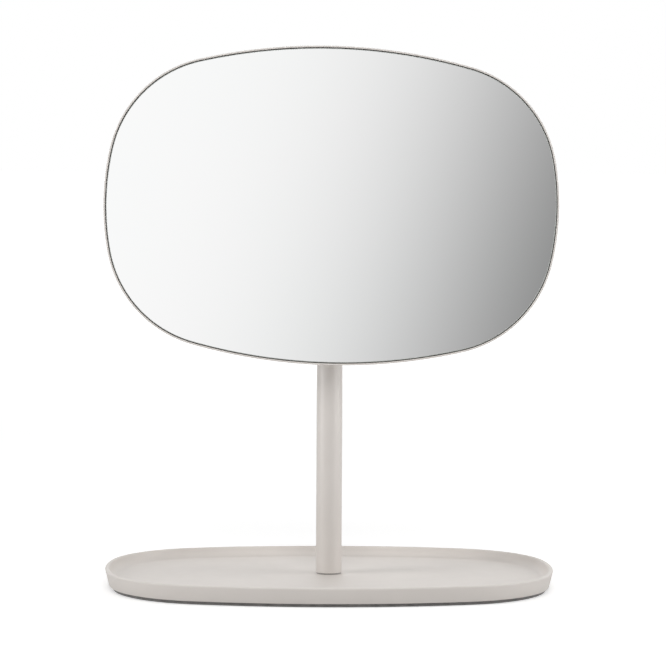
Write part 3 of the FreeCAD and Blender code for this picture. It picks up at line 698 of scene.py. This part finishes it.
def ring(name: str, bore: Span, outer: Span, ends: Span) -> Piece:
    """Upright ring with rounded edges.

    Args:
        name: Name of the piece.
        bore: Radius of its bore, and the rounding of its inner edges.
        outer: Its outer radius, and the rounding of its outer edges.
        ends: Heights of its two ends.

    Returns:
        The piece.
    """
    low, high = ends
    waist = Corner(bore[0], (low + high) / 2)
    edges = [(bore, low), (outer, low), (outer, high), (bore, high)]
    corners = [Corner(reach, height, rounding) for (reach, rounding), height in edges]
    return turned(name, [waist, *corners, waist])


def rod(width: float, ends: Span, sides: int | None = None) -> Piece:
    """Upright rod, to cut a hole or to add a boss with.

    Args:
        width: Diameter, or width across flats.
        ends: Heights of its two ends.
        sides: Number of flat sides, where it isn't round.

    Returns:
        The rod.
    """
    reach = width / 2 / (math.cos(math.pi / sides) if sides else 1)
    low, high = ends
    section = [Corner(0, low), Corner(reach, low), Corner(reach, high), Corner(0, high)]
    return turned("rod", section, sides)


def prism(name: str, section: list[Corner], depth: float) -> Piece:
    """Piece with one section from front to back.

    Args:
        name: Name of the piece.
        section: Its corners, of which the first isn't rounded.
        depth: Depth of the piece, half of it before the section.

    Returns:
        The piece.
    """
    bench = Bench(name)
    bench.draw([*section, section[0]])
    bench.weld()
    bpy.ops.mesh.edge_face_add()
    bpy.ops.transform.translate(value=(0, -depth / 2, 0))
    bpy.ops.mesh.extrude_region_move(TRANSFORM_OT_translate={"value": (0, depth, 0)})
    return bench.finish()


def pick(piece: Piece) -> None:
    """Select a piece alone and make it the active one.

    Args:
        piece: The piece.
    """
    bpy.ops.object.select_all(action="DESELECT")
    piece.select_set(True)
    bpy.context.view_layer.objects.active = piece


def place(piece: Piece, matrix: Matrix) -> Piece:
    """Move a piece, and keep the move in its mesh.

    Args:
        piece: The piece.
        matrix: The move.

    Returns:
        The piece.
    """
    pick(piece)
    piece.matrix_world = matrix
    bpy.ops.object.transform_apply(location=True, rotation=True, scale=True)
    return piece


def combine(piece: Piece, how: Join, *others: Piece) -> None:
    """Combine a piece with others, which are used up.

    Args:
        piece: The piece that stays.
        how: Way to combine them.
        others: The pieces that are used up, in order.
    """
    pick(piece)
    for other in others:
        join = piece.modifiers.new("join", "BOOLEAN")
        join.operation = how.value
        join.solver = "EXACT"
        join.object = other
        bpy.ops.object.modifier_apply(modifier=join.name)
        bpy.data.objects.remove(other)


def drill(
    piece: Piece, width: float, ends: Span, spot: Matrix = UPRIGHT, sides: int | None = None,
) -> None:
    """Cut a hole in a piece with a rod that is moved to its spot."""
    combine(piece, Join.CUT, place(rod(width, ends, sides), spot))


def soften(piece: Piece, width: float) -> Piece:
    """Clear a combined piece's faces of needless edges, and round its crisp ones.

    Args:
        piece: The piece.
        width: Width of the rounding, or zero for none.

    Returns:
        The piece.
    """
    pick(piece)
    bpy.ops.object.mode_set(mode="EDIT")
    bpy.ops.mesh.select_all(action="SELECT")
    bpy.ops.mesh.remove_doubles(threshold=CHORD_SLACK)
    bpy.ops.mesh.dissolve_limited(angle_limit=FLAT_ANGLE)
    bpy.ops.object.mode_set(mode="OBJECT")
    if width:
        bevel = piece.modifiers.new("round", "BEVEL")
        bevel.width = width
        bevel.segments = 2
        bevel.limit_method = "ANGLE"
        bevel.angle_limit = CRISP_ANGLE
        bpy.ops.object.modifier_apply(modifier=bevel.name)
    bpy.ops.object.shade_smooth_by_angle(angle=CRISP_ANGLE)
    return piece


def middle(box: tuple[Vector, Vector]) -> Vector:
    """Middle of a box."""
    return (box[0] + box[1]) / 2


@dataclass(frozen=True)
class SocketScrew:
    """Screw with a low round head, a hexagon socket in it and a chamfered tip."""

    name: str
    head_round: float
    seat_round: float
    shank: float
    chamfer: float
    socket_width: float
    socket_depth: float
    edge: float = 0.0001

    def build(self, radius: float, head: float, seat: float, tip: float) -> Piece:
        """Model the screw on the upright axis, its head down.

        Args:
            radius: Radius of its head.
            head: Height of the head's face.
            seat: Height of the head's other side.
            tip: Height of the tip.

        Returns:
            The screw.
        """
        screw = turned(self.name, [
            Corner(0, head),
            Corner(radius, head, self.head_round),
            Corner(radius, seat, self.seat_round),
            Corner(self.shank, seat),
            Corner(self.shank, tip - self.chamfer),
            Corner(self.shank - self.chamfer, tip),
            Corner(0, tip),
        ])
        drill(screw, self.socket_width, (head - OVERRUN, head + self.socket_depth), sides=HEXAGON)
        return soften(screw, self.edge)


@dataclass
class Assembly(ABC):
    """Sub-assembly of the mirror, with the pieces that it has built or finished."""

    pieces: list[Piece] = field(default_factory=list)

    @abstractmethod
    def build(self) -> None:
        """Model the pieces that stand for nodes of the frame."""

    def dress(self) -> None:
        """Finish the nodes of the frame that stay, where there are any."""

    def settle(self, piece: Piece, body: Body, finish: Finish, *nodes: str) -> None:
        """Give a new piece its finish, its body and the nodes that it stands for.

        Args:
            piece: The new piece.
            body: Body that it rides on.
            finish: Finish of its slot, and of its faces where they have none yet.
            nodes: Nodes of the frame that it replaces.
        """
        if not piece.data.materials:
            piece.data.materials.append(finish.material())
        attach(piece, body.value)
        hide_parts(*nodes)
        self.pieces.append(piece)

    def refinish(self, finish: Finish, *nodes: str) -> None:
        """Give nodes of the frame a better material in their own slot.

        Args:
            finish: The finish.
            nodes: Names of the nodes.
        """
        for name in nodes:
            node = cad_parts[name]
            node.material_slots[0].material = finish.material()
            self.pieces.append(node)


@dataclass
class Base(Assembly):
    """Tray, the pad that it stands on, and the screw that clamps the post."""

    corner_radius: float = 0.0692
    sheet: float = 0.0012
    floor_height: float = 0.006
    rim_width: float = 0.0026
    rim_radius: float = 0.001
    skirt_inset: float = 0.0024
    slope: float = math.radians(76)
    bowl_share: float = 0.72
    floor_land: float = 0.002
    edge_round: float = 0.0003
    pad_round: float = 0.0006
    bore: float = 0.0032
    bore_round: float = 0.0001
    washer_round: float = 0.00015
    screw_head: float = 0.006
    screw: SocketScrew = SocketScrew("foot_screw", 0.0004, 0.0001, 0.003, 0.0005, 0.004, 0.0009)

    def outline(self, node: str) -> Outline:
        """Outline of one of the base's nodes, which lie inside the tray's by an even inset.

        Args:
            node: Name of the node.

        Returns:
            The outline.
        """
        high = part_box(node)[1]
        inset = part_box("tray")[1].x - high.x
        return Outline(high.x, high.y, self.corner_radius - inset)

    def tray_section(self) -> list[Corner]:
        """Pressed section, from the floor over the rim, down the skirt and back under the floor.

        Returns:
            The section's corners.
        """
        low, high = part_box("tray")
        rim, top, foot, floor = high.x, high.z, low.z, self.floor_height
        lean = self.skirt_inset / (top - foot)
        slant = math.hypot(1, lean)
        half_slope = math.tan(self.slope / 2)
        edge = rim + self.rim_radius * (lean + slant - 1)
        run = (top - floor) / math.tan(self.slope)
        bowl = rim - self.rim_width - run
        wall = (top - floor) / math.sin(self.slope) - self.rim_radius * half_slope
        tangent = self.bowl_share * wall
        radius = tangent / half_slope
        land = bowl - tangent - self.floor_land
        under = bowl + self.sheet * half_slope
        skirt = edge - self.skirt_inset - self.sheet * slant
        fold = top - self.sheet
        return [
            Corner(land, floor),
            Corner(bowl, floor, radius),
            Corner(rim - self.rim_width, top, self.rim_radius),
            Corner(edge, top, self.rim_radius),
            Corner(edge - self.skirt_inset, foot, self.edge_round),
            Corner(skirt, foot, self.edge_round),
            Corner(skirt + lean * (fold - foot), fold),
            Corner(under + run, fold),
            Corner(under, floor - self.sheet, radius + self.sheet),
            Corner(land, floor - self.sheet),
        ]

    def build(self) -> None:
        """Model the tray, the pad, and the screw with its washer."""
        post = middle(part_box("foot_gasket"))
        bore = Hole(post.x, post.y, self.bore)
        tray = swept_plate("dished_tray", self.outline("tray"), self.tray_section(), [bore])
        self.settle(tray, Body.STAND, TRAY_COAT, "tray")
        low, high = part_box("base_pad")
        land = high.x - self.floor_land
        section = [
            Corner(land, high.z),
            Corner(high.x, high.z, self.edge_round),
            Corner(high.x, low.z, self.pad_round),
            Corner(land, low.z),
        ]
        opening = Hole(post.x, post.y, 2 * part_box("base_screw")[1].x)
        pad = swept_plate("standing_pad", self.outline("base_pad"), section, [opening])
        self.settle(pad, Body.STAND, PAD_RUBBER, "base_pad")
        self.build_screw(post.y)

    def build_screw(self, back: float) -> None:
        """Model the screw that clamps the post and the washer under its head.

        Args:
            back: How far the post stands behind the middle.
        """
        low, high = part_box("base_washer")
        bore, outer = (self.bore, self.bore_round), (high.x, self.washer_round)
        washer = ring("foot_washer", bore, outer, (low.z, high.z))
        head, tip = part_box("base_screw")[0].z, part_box("base_screw")[1].z
        screw = self.screw.build(self.screw_head, head, low.z, tip)
        for piece, node in ((washer, "base_washer"), (screw, "base_screw")):
            place(piece, Matrix.Translation((0, back, 0)))
            self.settle(piece, Body.STAND, ZINC_STEEL, node)

    def dress(self) -> None:
        """Finish the weight and the plug in the post's foot."""
        self.refinish(MILL_STEEL, "base_plate")
        self.refinish(ZINC_STEEL, "foot_insert")


@dataclass
class Post(Assembly):
    """Post and the gasket at its foot."""

    wall: float = 0.0012
    end_round: float = 0.00025
    gasket_round: float = 0.0003
    gasket_bore: float = 0.0032
    screw_hole: float = 0.0044

    def tube(self, name: str, node: str, bore: float, rounding: float) -> Piece:
        """Upright tube that fills a node's box, with rounded edges.

        Args:
            name: Name of the piece.
            node: Node that it stands for.
            bore: Radius of its bore.
            rounding: Radius of its edges.

        Returns:
            The piece.
        """
        low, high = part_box(node)
        outer = (high.x - low.x) / 2
        piece = ring(name, (bore, rounding), (outer, rounding), (low.z, high.z))
        return place(piece, Matrix.Translation((0, (low.y + high.y) / 2, 0)))

    def build(self) -> None:
        """Model the tube, with the set screw's hole in it, and the gasket."""
        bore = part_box("post_tube")[1].x - self.wall
        tube = self.tube("post_sleeve", "post_tube", bore, self.end_round)
        low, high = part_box("fork_set_screw")
        spot = Matrix.Translation((0, 0, (low.z + high.z) / 2)) @ FORWARD
        drill(tube, self.screw_hole, (-high.y - 2 * bore, -low.y), spot)
        self.settle(soften(tube, 0), Body.STAND, POST_COAT, "post_tube")
        gasket = self.tube("foot_ring", "foot_gasket", self.gasket_bore, self.gasket_round)
        self.settle(gasket, Body.STAND, GASKET_RUBBER, "foot_gasket")


@dataclass
class TiltHinge(Assembly):
    """Fork at the top of the post, the knuckle in it and the bolt through both."""

    drop: float = 0.022
    outer: float = 0.008
    spigot: float = 0.00675
    slot: float = 0.0066
    slot_drop: float = 0.0095
    slot_round: float = 0.0006
    ear_seat: float = 0.005
    head_seat: float = 0.0076
    nut_seat: float = 0.0071
    bore: float = 0.0041
    screw_drop: float = 0.012
    eye: float = 0.012
    eye_width: float = 0.0054
    blade: float = 0.009
    collar: Span = (0.0088, 0.0144)
    collar_step: float = 0.0015
    journal_end: float = 0.0186
    key_end: float = 0.0207
    key_width: float = 0.006
    tap_depth: float = 0.008
    edge: float = 0.0003
    slack: float = 0.00002
    bolt: SocketScrew = SocketScrew("clamp_bolt", 0.0003, 0.0, 0.002, 0.0004, 0.0025, 0.001)
    bolt_head: float = 0.0016
    nut_width: float = 0.007
    nut_inset: float = 0.00005
    nut_chamfer: float = 0.0004
    nut_edge: float = 0.00008
    grub_socket: float = 0.002
    grub_depth: float = 0.002
    grub_edge: float = 0.00006

    def hang(
        self, piece: Piece, body: Body, finish: Finish, node: str, rise: float = 0.0,
    ) -> None:
        """Move a finished piece from the origin to the hinge's pin.

        Args:
            piece: The piece.
            body: Body that it rides on.
            finish: Its finish.
            node: Node that it stands for.
            rise: Height of its own origin above the pin.
        """
        pin = middle(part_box("tilt_bolt"))
        place(piece, Matrix.Translation((0, pin.y, pin.z + rise)))
        self.settle(piece, body, finish, node)

    def build(self) -> None:
        """Model the fork, the knuckle and the fasteners."""
        self.hang(self.build_fork(), Body.STAND, FORK_COAT, "tilt_fork")
        self.hang(self.build_knuckle(), Body.KNUCKLE, FORK_COAT, "tilt_knuckle")
        self.hang(self.build_bolt(), Body.STAND, ZINC_STEEL, "tilt_bolt")
        self.hang(self.build_nut(), Body.STAND, ZINC_STEEL, "tilt_nut")
        rise = -self.drop - self.screw_drop
        self.hang(self.build_set_screw(), Body.STAND, BLACK_STEEL, "fork_set_screw", rise)

    def build_fork(self) -> Piece:
        """Model the fork: a spigot, a shoulder and two domed ears, with seats for bolt and nut.

        Returns:
            The fork, with its pin at the origin.
        """
        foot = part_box("tilt_fork")[0].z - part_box("tilt_fork")[1].z + self.outer
        fork = turned("hinge_fork", [
            Corner(0, foot),
            Corner(self.spigot, foot, 2 * self.edge),
            Corner(self.spigot, -self.drop),
            Corner(self.outer, -self.drop),
            Corner(self.outer, self.outer),
            Corner(0, self.outer),
        ])
        dome, wide = self.outer - self.slack, self.outer + OVERRUN
        cap = prism("cap", [
            Corner(-wide, foot - OVERRUN),
            Corner(wide, foot - OVERRUN),
            Corner(wide, 0),
            Corner(dome, 0),
            Corner(dome, dome, dome),
            Corner(-dome, dome, dome),
            Corner(-dome, 0),
            Corner(-wide, 0),
        ], 2 * wide)
        combine(fork, Join.KEEP, place(cap, RIGHT_TO_FRONT))
        half = self.slot / 2
        slot = prism("slot", [
            Corner(-half, wide),
            Corner(-half, -self.slot_drop, self.slot_round),
            Corner(half, -self.slot_drop, self.slot_round),
            Corner(half, wide),
        ], 2 * wide)
        combine(fork, Join.CUT, slot)
        tapping = Matrix.Translation((0, 0, -self.drop - self.screw_drop)) @ FORWARD
        drill(fork, self.bore, (-wide, 0), tapping)
        drill(fork, self.bore, (-wide, wide), SIDEWAYS)
        drill(fork, self.head_seat, (-wide, -self.ear_seat), SIDEWAYS)
        drill(fork, self.nut_seat, (self.ear_seat, wide), SIDEWAYS, HEXAGON)
        return soften(fork, self.edge)

    def build_knuckle(self) -> Piece:
        """Model the knuckle: an eye, a blade, a collar, a journal and a square end.

        Returns:
            The knuckle, with its pin at the origin.
        """
        start, stop = self.collar
        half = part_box("tilt_knuckle")[1].x
        journal = half - self.collar_step
        knuckle = turned("hinge_knuckle", [
            Corner(0, start),
            Corner(half, start, 2 * self.edge),
            Corner(half, stop, self.edge),
            Corner(journal, stop),
            Corner(journal, self.journal_end),
            Corner(0, self.journal_end),
        ])
        combine(knuckle, Join.ADD, rod(self.key_width, (stop, self.key_end), SQUARE))
        place(knuckle, FORWARD)
        high, reach = self.blade / 2, (start + stop) / 2
        corners = [Corner(0, -high), Corner(reach, -high), Corner(reach, high), Corner(0, high)]
        blade = place(prism("blade", corners, self.eye_width), RIGHT_TO_FRONT)
        eye = place(rod(self.eye, (-self.eye_width / 2, self.eye_width / 2)), SIDEWAYS)
        combine(knuckle, Join.ADD, eye, blade)
        drill(knuckle, self.bore, (-self.eye, self.eye), SIDEWAYS)
        drill(knuckle, self.bore, (self.key_end - self.tap_depth, self.key_end + OVERRUN), FORWARD)
        return soften(knuckle, self.edge)

    def build_bolt(self) -> Piece:
        """Model the bolt.

        Returns:
            The bolt, with the hinge's middle at the origin.
        """
        low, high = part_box("tilt_bolt")
        radius = (high.y - low.y) / 2
        return place(self.bolt.build(radius, low.x, low.x + self.bolt_head, high.x), SIDEWAYS)

    def build_nut(self) -> Piece:
        """Model the nut: a hexagon with turned chamfers at both ends.

        Returns:
            The nut, with the hinge's middle at the origin.
        """
        low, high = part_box("tilt_nut")
        flat = self.nut_width / 2 - self.nut_inset
        tip = (high.z - low.z) / 2 + self.edge
        nut = turned("clamp_nut", [
            Corner(0, low.x),
            Corner(flat, low.x),
            Corner(tip, low.x + self.nut_chamfer),
            Corner(tip, high.x - self.nut_chamfer),
            Corner(flat, high.x),
            Corner(0, high.x),
        ])
        through = low.x - OVERRUN, high.x + OVERRUN
        combine(nut, Join.KEEP, rod(self.nut_width, through, HEXAGON))
        drill(nut, self.bore, through)
        return place(soften(nut, self.nut_edge), SIDEWAYS)

    def build_set_screw(self) -> Piece:
        """Model the set screw: a headless screw with a hexagon socket and chamfered ends.

        Returns:
            The screw, with the post's axis at the origin.
        """
        post = middle(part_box("tilt_bolt")).y
        low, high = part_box("fork_set_screw")
        back, front = post - high.y, post - low.y
        radius = (high.z - low.z) / 2
        screw = turned("grub_screw", [
            Corner(0, back),
            Corner(radius - self.edge, back),
            Corner(radius, back + self.edge),
            Corner(radius, front - 2 * self.edge),
            Corner(radius - 2 * self.edge, front),
            Corner(0, front),
        ])
        socket = back - OVERRUN, back + self.grub_depth
        drill(screw, self.grub_socket, socket, sides=HEXAGON)
        return place(soften(screw, self.grub_edge), FORWARD)

    def dress(self) -> None:
        """Finish the pieces inside the hinge."""
        self.refinish(ZINC_STEEL, "turn_screw")
        self.refinish(ACETAL, "tilt_washer_left", "tilt_washer_right")
        self.refinish(SPRING_STEEL, "tilt_disc_spring")


@dataclass
class Head(Assembly):
    """Shell, glass and turn joint of the head."""

    roll: float = math.radians(1.5)
    half_length: float = 0.13925
    half_depth: float = 0.0975
    corner_radius: float = 0.0723
    sheet: float = 0.001
    back_radius: float = 0.004
    lip_round: float = 0.0003
    floor_land: float = 0.002
    glass_inset: float = 0.0016
    arris: float = 0.0004
    back_arris: float = 0.0002
    screw_circle: float = 0.01575
    screw_hole: float = 0.0017
    hub_wall: float = 0.003
    hub_bore: float = 0.00505
    hub_cavity: float = 0.0125
    hub_round: float = 0.002
    hub_tap: float = 0.008
    hub_hole: float = 0.0031

    def stand(self, piece: Piece, node: str) -> Piece:
        """Stand a piece on a node's back, rolled in its own plane and facing forwards.

        Args:
            piece: The piece.
            node: Name of the node.

        Returns:
            The piece.
        """
        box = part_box(node)
        back = Matrix.Translation((middle(box).x, box[1].y, middle(box).z))
        return place(piece, back @ FORWARD @ Matrix.Rotation(-self.roll, 4, "Z"))

    def outline(self, inset: float = 0.0) -> Outline:
        """The head's outline, drawn in by an inset."""
        sizes = self.half_length, self.half_depth, self.corner_radius
        return Outline(*(size - inset for size in sizes))

    def screw_spots(self) -> list[Span]:
        """Places of the hub's four screws, across and up from the head's middle."""
        reach = self.screw_circle * math.cos(math.pi / 4)
        return [(x, y) for x in (-reach, reach) for y in (-reach, reach)]

    def build(self) -> None:
        """Model the shell, the glass and the hub."""
        low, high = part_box("back_shell")
        depth = high.y - low.y
        edge = self.half_length
        land = edge - self.back_radius - self.floor_land
        section = [
            Corner(land, 0),
            Corner(edge, 0, self.back_radius),
            Corner(edge, depth, self.lip_round),
            Corner(edge - self.sheet, depth, self.lip_round),
            Corner(edge - self.sheet, self.sheet, self.back_radius - self.sheet),
            Corner(land, self.sheet),
        ]
        holes = [Hole(x, y, self.screw_hole) for x, y in self.screw_spots()]
        shell = swept_plate("head_shell", self.outline(), section, holes)
        self.settle(self.stand(shell, "back_shell"), Body.HEAD, SHELL_COAT, "back_shell")
        self.build_glass()
        self.build_hub()

    def build_glass(self) -> None:
        """Model the glass: silvered front, ground edge and painted back."""
        low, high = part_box("mirror_glass")
        thickness = high.y - low.y
        edge = self.half_length - self.glass_inset
        land = edge - self.floor_land
        section = [
            Corner(land, 0),
            Corner(edge - self.back_arris, 0),
            Corner(edge, self.back_arris),
            Corner(edge, thickness - self.arris),
            Corner(edge - self.arris, thickness),
            Corner(land, thickness),
        ]
        glass = swept_plate("mirror_pane", self.outline(self.glass_inset), section, [])
        for finish in (GROUND_EDGE, SILVERING, BACKING):
            glass.data.materials.append(finish.material())
        for face in glass.data.polygons:
            if abs(face.normal.z) > LEVEL:
                face.material_index = 1 if face.normal.z > 0 else 2
        self.settle(self.stand(glass, "mirror_glass"), Body.HEAD, SILVERING, "mirror_glass")

    def build_hub(self) -> None:
        """Model the hub: a cup with a rounded back, bored for the journal and its screws."""
        low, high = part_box("hub_housing")
        radius, depth = (high.x - low.x) / 2, high.y - low.y
        wall, bore, cavity = self.hub_wall, self.hub_bore, self.hub_cavity
        hub = turned("turn_hub", [
            Corner(bore, wall / 2),
            Corner(bore, 0, self.arris),
            Corner(radius, 0, self.hub_round),
            Corner(radius, depth, self.back_arris),
            Corner(cavity, depth, self.back_arris),
            Corner(cavity, wall, self.arris),
            Corner(bore, wall, self.arris),
            Corner(bore, wall / 2),
        ])
        ends = depth - self.hub_tap, depth + self.arris
        for x, y in self.screw_spots():
            drill(hub, self.hub_hole, ends, Matrix.Translation((x, y, 0)))
        hub = self.stand(soften(hub, 0), "hub_housing")
        self.settle(hub, Body.HEAD, HUB_COAT, "hub_housing")

    def dress(self) -> None:
        """Finish the pieces inside the head."""
        self.refinish(ZINC_STEEL, "carrier_plate", "hub_screws", "turn_disc")
        self.refinish(FOAM_TAPE, "foam_tape")
        self.refinish(ACETAL, "turn_ring_rear", "turn_ring_front")
        self.refinish(SPRING_STEEL, "turn_spring_rear", "turn_spring_front")


@dataclass(frozen=True)
class Softbox:
    """Rectangular lamp on a circle about the object, aimed at it."""

    name: str
    azimuth: float
    height: float
    width: float
    tall: float
    power: float
    reach: float = 2.0
    aim: Triple = (0.0, 0.0, 0.12)

    def hang(self) -> None:
        """Hang the lamp."""
        turn = math.radians(self.azimuth)
        spot = Vector((self.reach * math.sin(turn), -self.reach * math.cos(turn), self.height))
        towards = Vector(self.aim) - spot
        bpy.ops.object.light_add(
            type="AREA",
            location=spot,
            rotation=towards.to_track_quat("-Z", "Y").to_euler(),
        )
        lamp = bpy.context.object
        lamp.name = self.name
        lamp.data.shape = "RECTANGLE"
        lamp.data.size = self.width
        lamp.data.size_y = self.tall
        lamp.data.energy = self.power


class Backdrop(Nodes):
    """Node tree of a surface of the studio."""

    def __init__(self, tree: bpy.types.NodeTree) -> None:
        """Take up a tree and clear it."""
        super().__init__(tree)
        tree.nodes.clear()

    def seen(self) -> Socket:
        """Tell the rays that show a surface from those that carry its light on.

        Returns:
            One for the first, and zero for the others.
        """
        rays = self.add("LightPath").outputs
        shown = rays["Is Camera Ray"]
        for kind in ("Is Glossy Ray", "Is Transmission Ray"):
            shown = self.add("Math", shown, rays[kind], operation="MAXIMUM").outputs[0]
        return shown

    def show(self, shader: bpy.types.Node, kind: str) -> None:
        """Link a shader to the output of a material or a world."""
        self.add("Output" + kind, shader.outputs[0])


@dataclass
class Studio:
    """Floor, lamps, the card that the glass reflects, and the camera."""

    distance: float = 2.0
    azimuth: float = math.radians(-1.33)
    aside: float = 0.0017
    height: float = 0.2983
    pitch: float = math.radians(4.037)
    roll: float = math.radians(0.3)
    focal_pixels: float = 3241.4
    frame_pixels: float = 666.0
    floor_size: float = 24.0
    floor_level: float = -0.0002
    floor_paint: float = 0.8
    # Where the floor's glow starts and ends its rise, and its levels before and after
    floor_near: Span = (0.9, 2.6)
    floor_glow: Span = (0.44, 1.0)
    # Level near the object in reflections
    reflected_glow: float = 0.1
    ambient: float = 0.11
    card_reach: float = 1.5
    card_size: Span = (1.5, 0.8)
    card_rise: float = 0.005
    # The card's shade is its level plus its swing times tanh(slope . place - shift)
    card_slope: Triple = (5.4535, 0.0, -1.6657)
    card_shift: float = 0.4729
    card_swing: float = -0.4716
    card_level: float = 0.5634
    # Where the card passes into white, to the right and upwards
    card_right: Span = (0.35, 0.75)
    card_top: Span = (0.45, 0.8)
    lamps: tuple[Softbox, ...] = (
        Softbox("left_low_box", -70, 0.5, 0.9, 1.0, 13.8),
        Softbox("left_box", -72, 1.5, 0.9, 1.0, 10.5),
        Softbox("right_low_box", 54, 0.5, 0.7, 1.0, 7.0),
        Softbox("right_side_box", 85, 0.5, 1.4, 1.0, 6.9),
        Softbox("right_box", 82, 1.5, 1.2, 1.0, 12.9),
        Softbox("front_box", 0, 1.75, 1.2, 1.2, 16.0),
        Softbox("back_box", 180, 1.75, 3.2, 1.2, 18.0),
        Softbox("top_box", 0, 2.4, 1.5, 1.5, 4.5, reach=0.0),
    )

    def build(self) -> None:
        """Set up the whole studio."""
        self.lay_floor()
        self.light_world()
        for lamp in self.lamps:
            lamp.hang()
        self.hang_card()
        self.aim_camera()

    def sheet(self, name: str, matrix: Matrix) -> Backdrop:
        """Flat sheet of the studio, one metre square before its matrix.

        Args:
            name: Name of the sheet and of its material.
            matrix: Place and size of the sheet.

        Returns:
            The empty node tree of its material.
        """
        bpy.ops.object.select_all(action="DESELECT")
        bpy.ops.mesh.primitive_plane_add(size=1.0)
        sheet = bpy.context.object
        sheet.name = name
        place(sheet, matrix)
        material = bpy.data.materials.new(name)
        material.use_nodes = True
        sheet.data.materials.append(material)
        return Backdrop(material.node_tree)

    def lay_floor(self) -> None:
        """Lay a pale floor that keeps the shadow, and that passes into the white with no edge."""
        level = Matrix.Translation((0, 0, self.floor_level))
        floor = self.sheet("floor", level @ Matrix.Scale(self.floor_size, 4))
        paint = floor.add("BsdfDiffuse")
        paint.inputs["Color"].default_value = grey(self.floor_paint)
        spot = floor.add("TexCoord").outputs["Object"]
        away = floor.add("VectorMath", spot, operation="LENGTH").outputs["Value"]
        strength = floor.ramp(away, self.floor_near, self.floor_glow, Passage.SMOOTH)
        near = floor.add("MapRange", floor.add("LightPath").outputs["Is Glossy Ray"])
        near.inputs["To Min"].default_value = self.floor_glow[0]
        near.inputs["To Max"].default_value = self.reflected_glow
        floor.tree.links.new(near.outputs["Result"], strength.node.inputs["To Min"])
        glow = floor.add("Emission")
        floor.tree.links.new(strength, glow.inputs["Strength"])
        both = floor.add("AddShader", paint.outputs[0], glow.outputs[0])
        mix = floor.add("MixShader", floor.seen(), paint.outputs[0], both.outputs[0])
        floor.show(mix, "Material")

    def light_world(self) -> None:
        """Fill the world with even light, white where it is seen."""
        world = bpy.data.worlds.new("studio")
        bpy.context.scene.world = world
        world.use_nodes = True
        sky = Backdrop(world.node_tree)
        fill = sky.add("Background")
        white = sky.add("Background")
        for background, strength in ((fill, self.ambient), (white, 1.0)):
            background.inputs["Color"].default_value = grey(1.0)
            background.inputs["Strength"].default_value = strength
        sky.show(sky.add("MixShader", sky.seen(), fill.outputs[0], white.outputs[0]), "World")

    def hang_card(self) -> None:
        """Hang the graded card that the glass reflects, seen by reflections alone."""
        width, tall = self.card_size
        spot = Matrix.Translation((0, -self.card_reach, tall / 2 + self.card_rise))
        upright = FORWARD @ Matrix.Diagonal((width, tall, 1.0, 1.0))
        card = self.sheet("graded_card", spot @ upright)
        sheet = bpy.context.object
        sheet.rotation_euler.z = -self.azimuth
        sheet.visible_camera = False
        sheet.visible_diffuse = False
        sheet.visible_shadow = False
        sheet.visible_transmission = False
        spot_on = card.add("TexCoord").outputs["Object"]
        slope = card.add("VectorMath", spot_on, operation="DOT_PRODUCT")
        slope.inputs[1].default_value = self.card_slope
        shifted = card.add("Math", slope.outputs["Value"], operation="SUBTRACT")
        shifted.inputs[1].default_value = self.card_shift
        bend = card.add("Math", shifted.outputs[0], operation="TANH")
        shade = card.add("Math", bend.outputs[0], operation="MULTIPLY_ADD")
        shade.inputs[1].default_value = self.card_swing
        shade.inputs[2].default_value = self.card_level
        axes = card.add("SeparateXYZ", spot_on).outputs
        fade_right = card.ramp(axes["X"], self.card_right, (0.0, 1.0), Passage.SMOOTH)
        fade_top = card.ramp(axes["Z"], self.card_top, (0.0, 1.0), Passage.SMOOTH)
        fade = card.add("Math", fade_right, fade_top, operation="MAXIMUM")
        level = card.add("MapRange", fade.outputs[0])
        glow = card.add("Emission")
        card.tree.links.new(shade.outputs[0], level.inputs["To Min"])
        card.tree.links.new(level.outputs["Result"], glow.inputs["Strength"])
        card.show(glow, "Material")

    def aim_camera(self) -> None:
        """Stand the camera in front of the glass, turned a little about its line of sight."""
        around = Matrix.Rotation(self.azimuth, 4, "Z")
        stand = Matrix.Translation((self.aside, -self.distance, self.height))
        tip = Matrix.Rotation(math.pi / 2 - self.pitch, 4, "X")
        bpy.ops.object.camera_add()
        camera = bpy.context.object
        camera.matrix_world = around @ stand @ tip @ Matrix.Rotation(self.roll, 4, "Z")
        camera.data.lens = camera.data.sensor_width * self.focal_pixels / self.frame_pixels
        scene = bpy.context.scene
        scene.camera = camera
        scene.view_settings.view_transform = "Standard"


def main() -> None:
    """Build and dress the mirror in its studio, and report each piece."""
    logging.basicConfig(level=logging.INFO, format="%(name)s: %(message)s")
    for assembly in (Base(), Post(), TiltHinge(), Head()):
        assembly.build()
        assembly.dress()
        name = type(assembly).__name__
        for piece in assembly.pieces:
            LOG.info("%s: %s with %d faces", name, piece.name, len(piece.data.polygons))
    Studio().build()


if __name__ == "__main__":
    main()
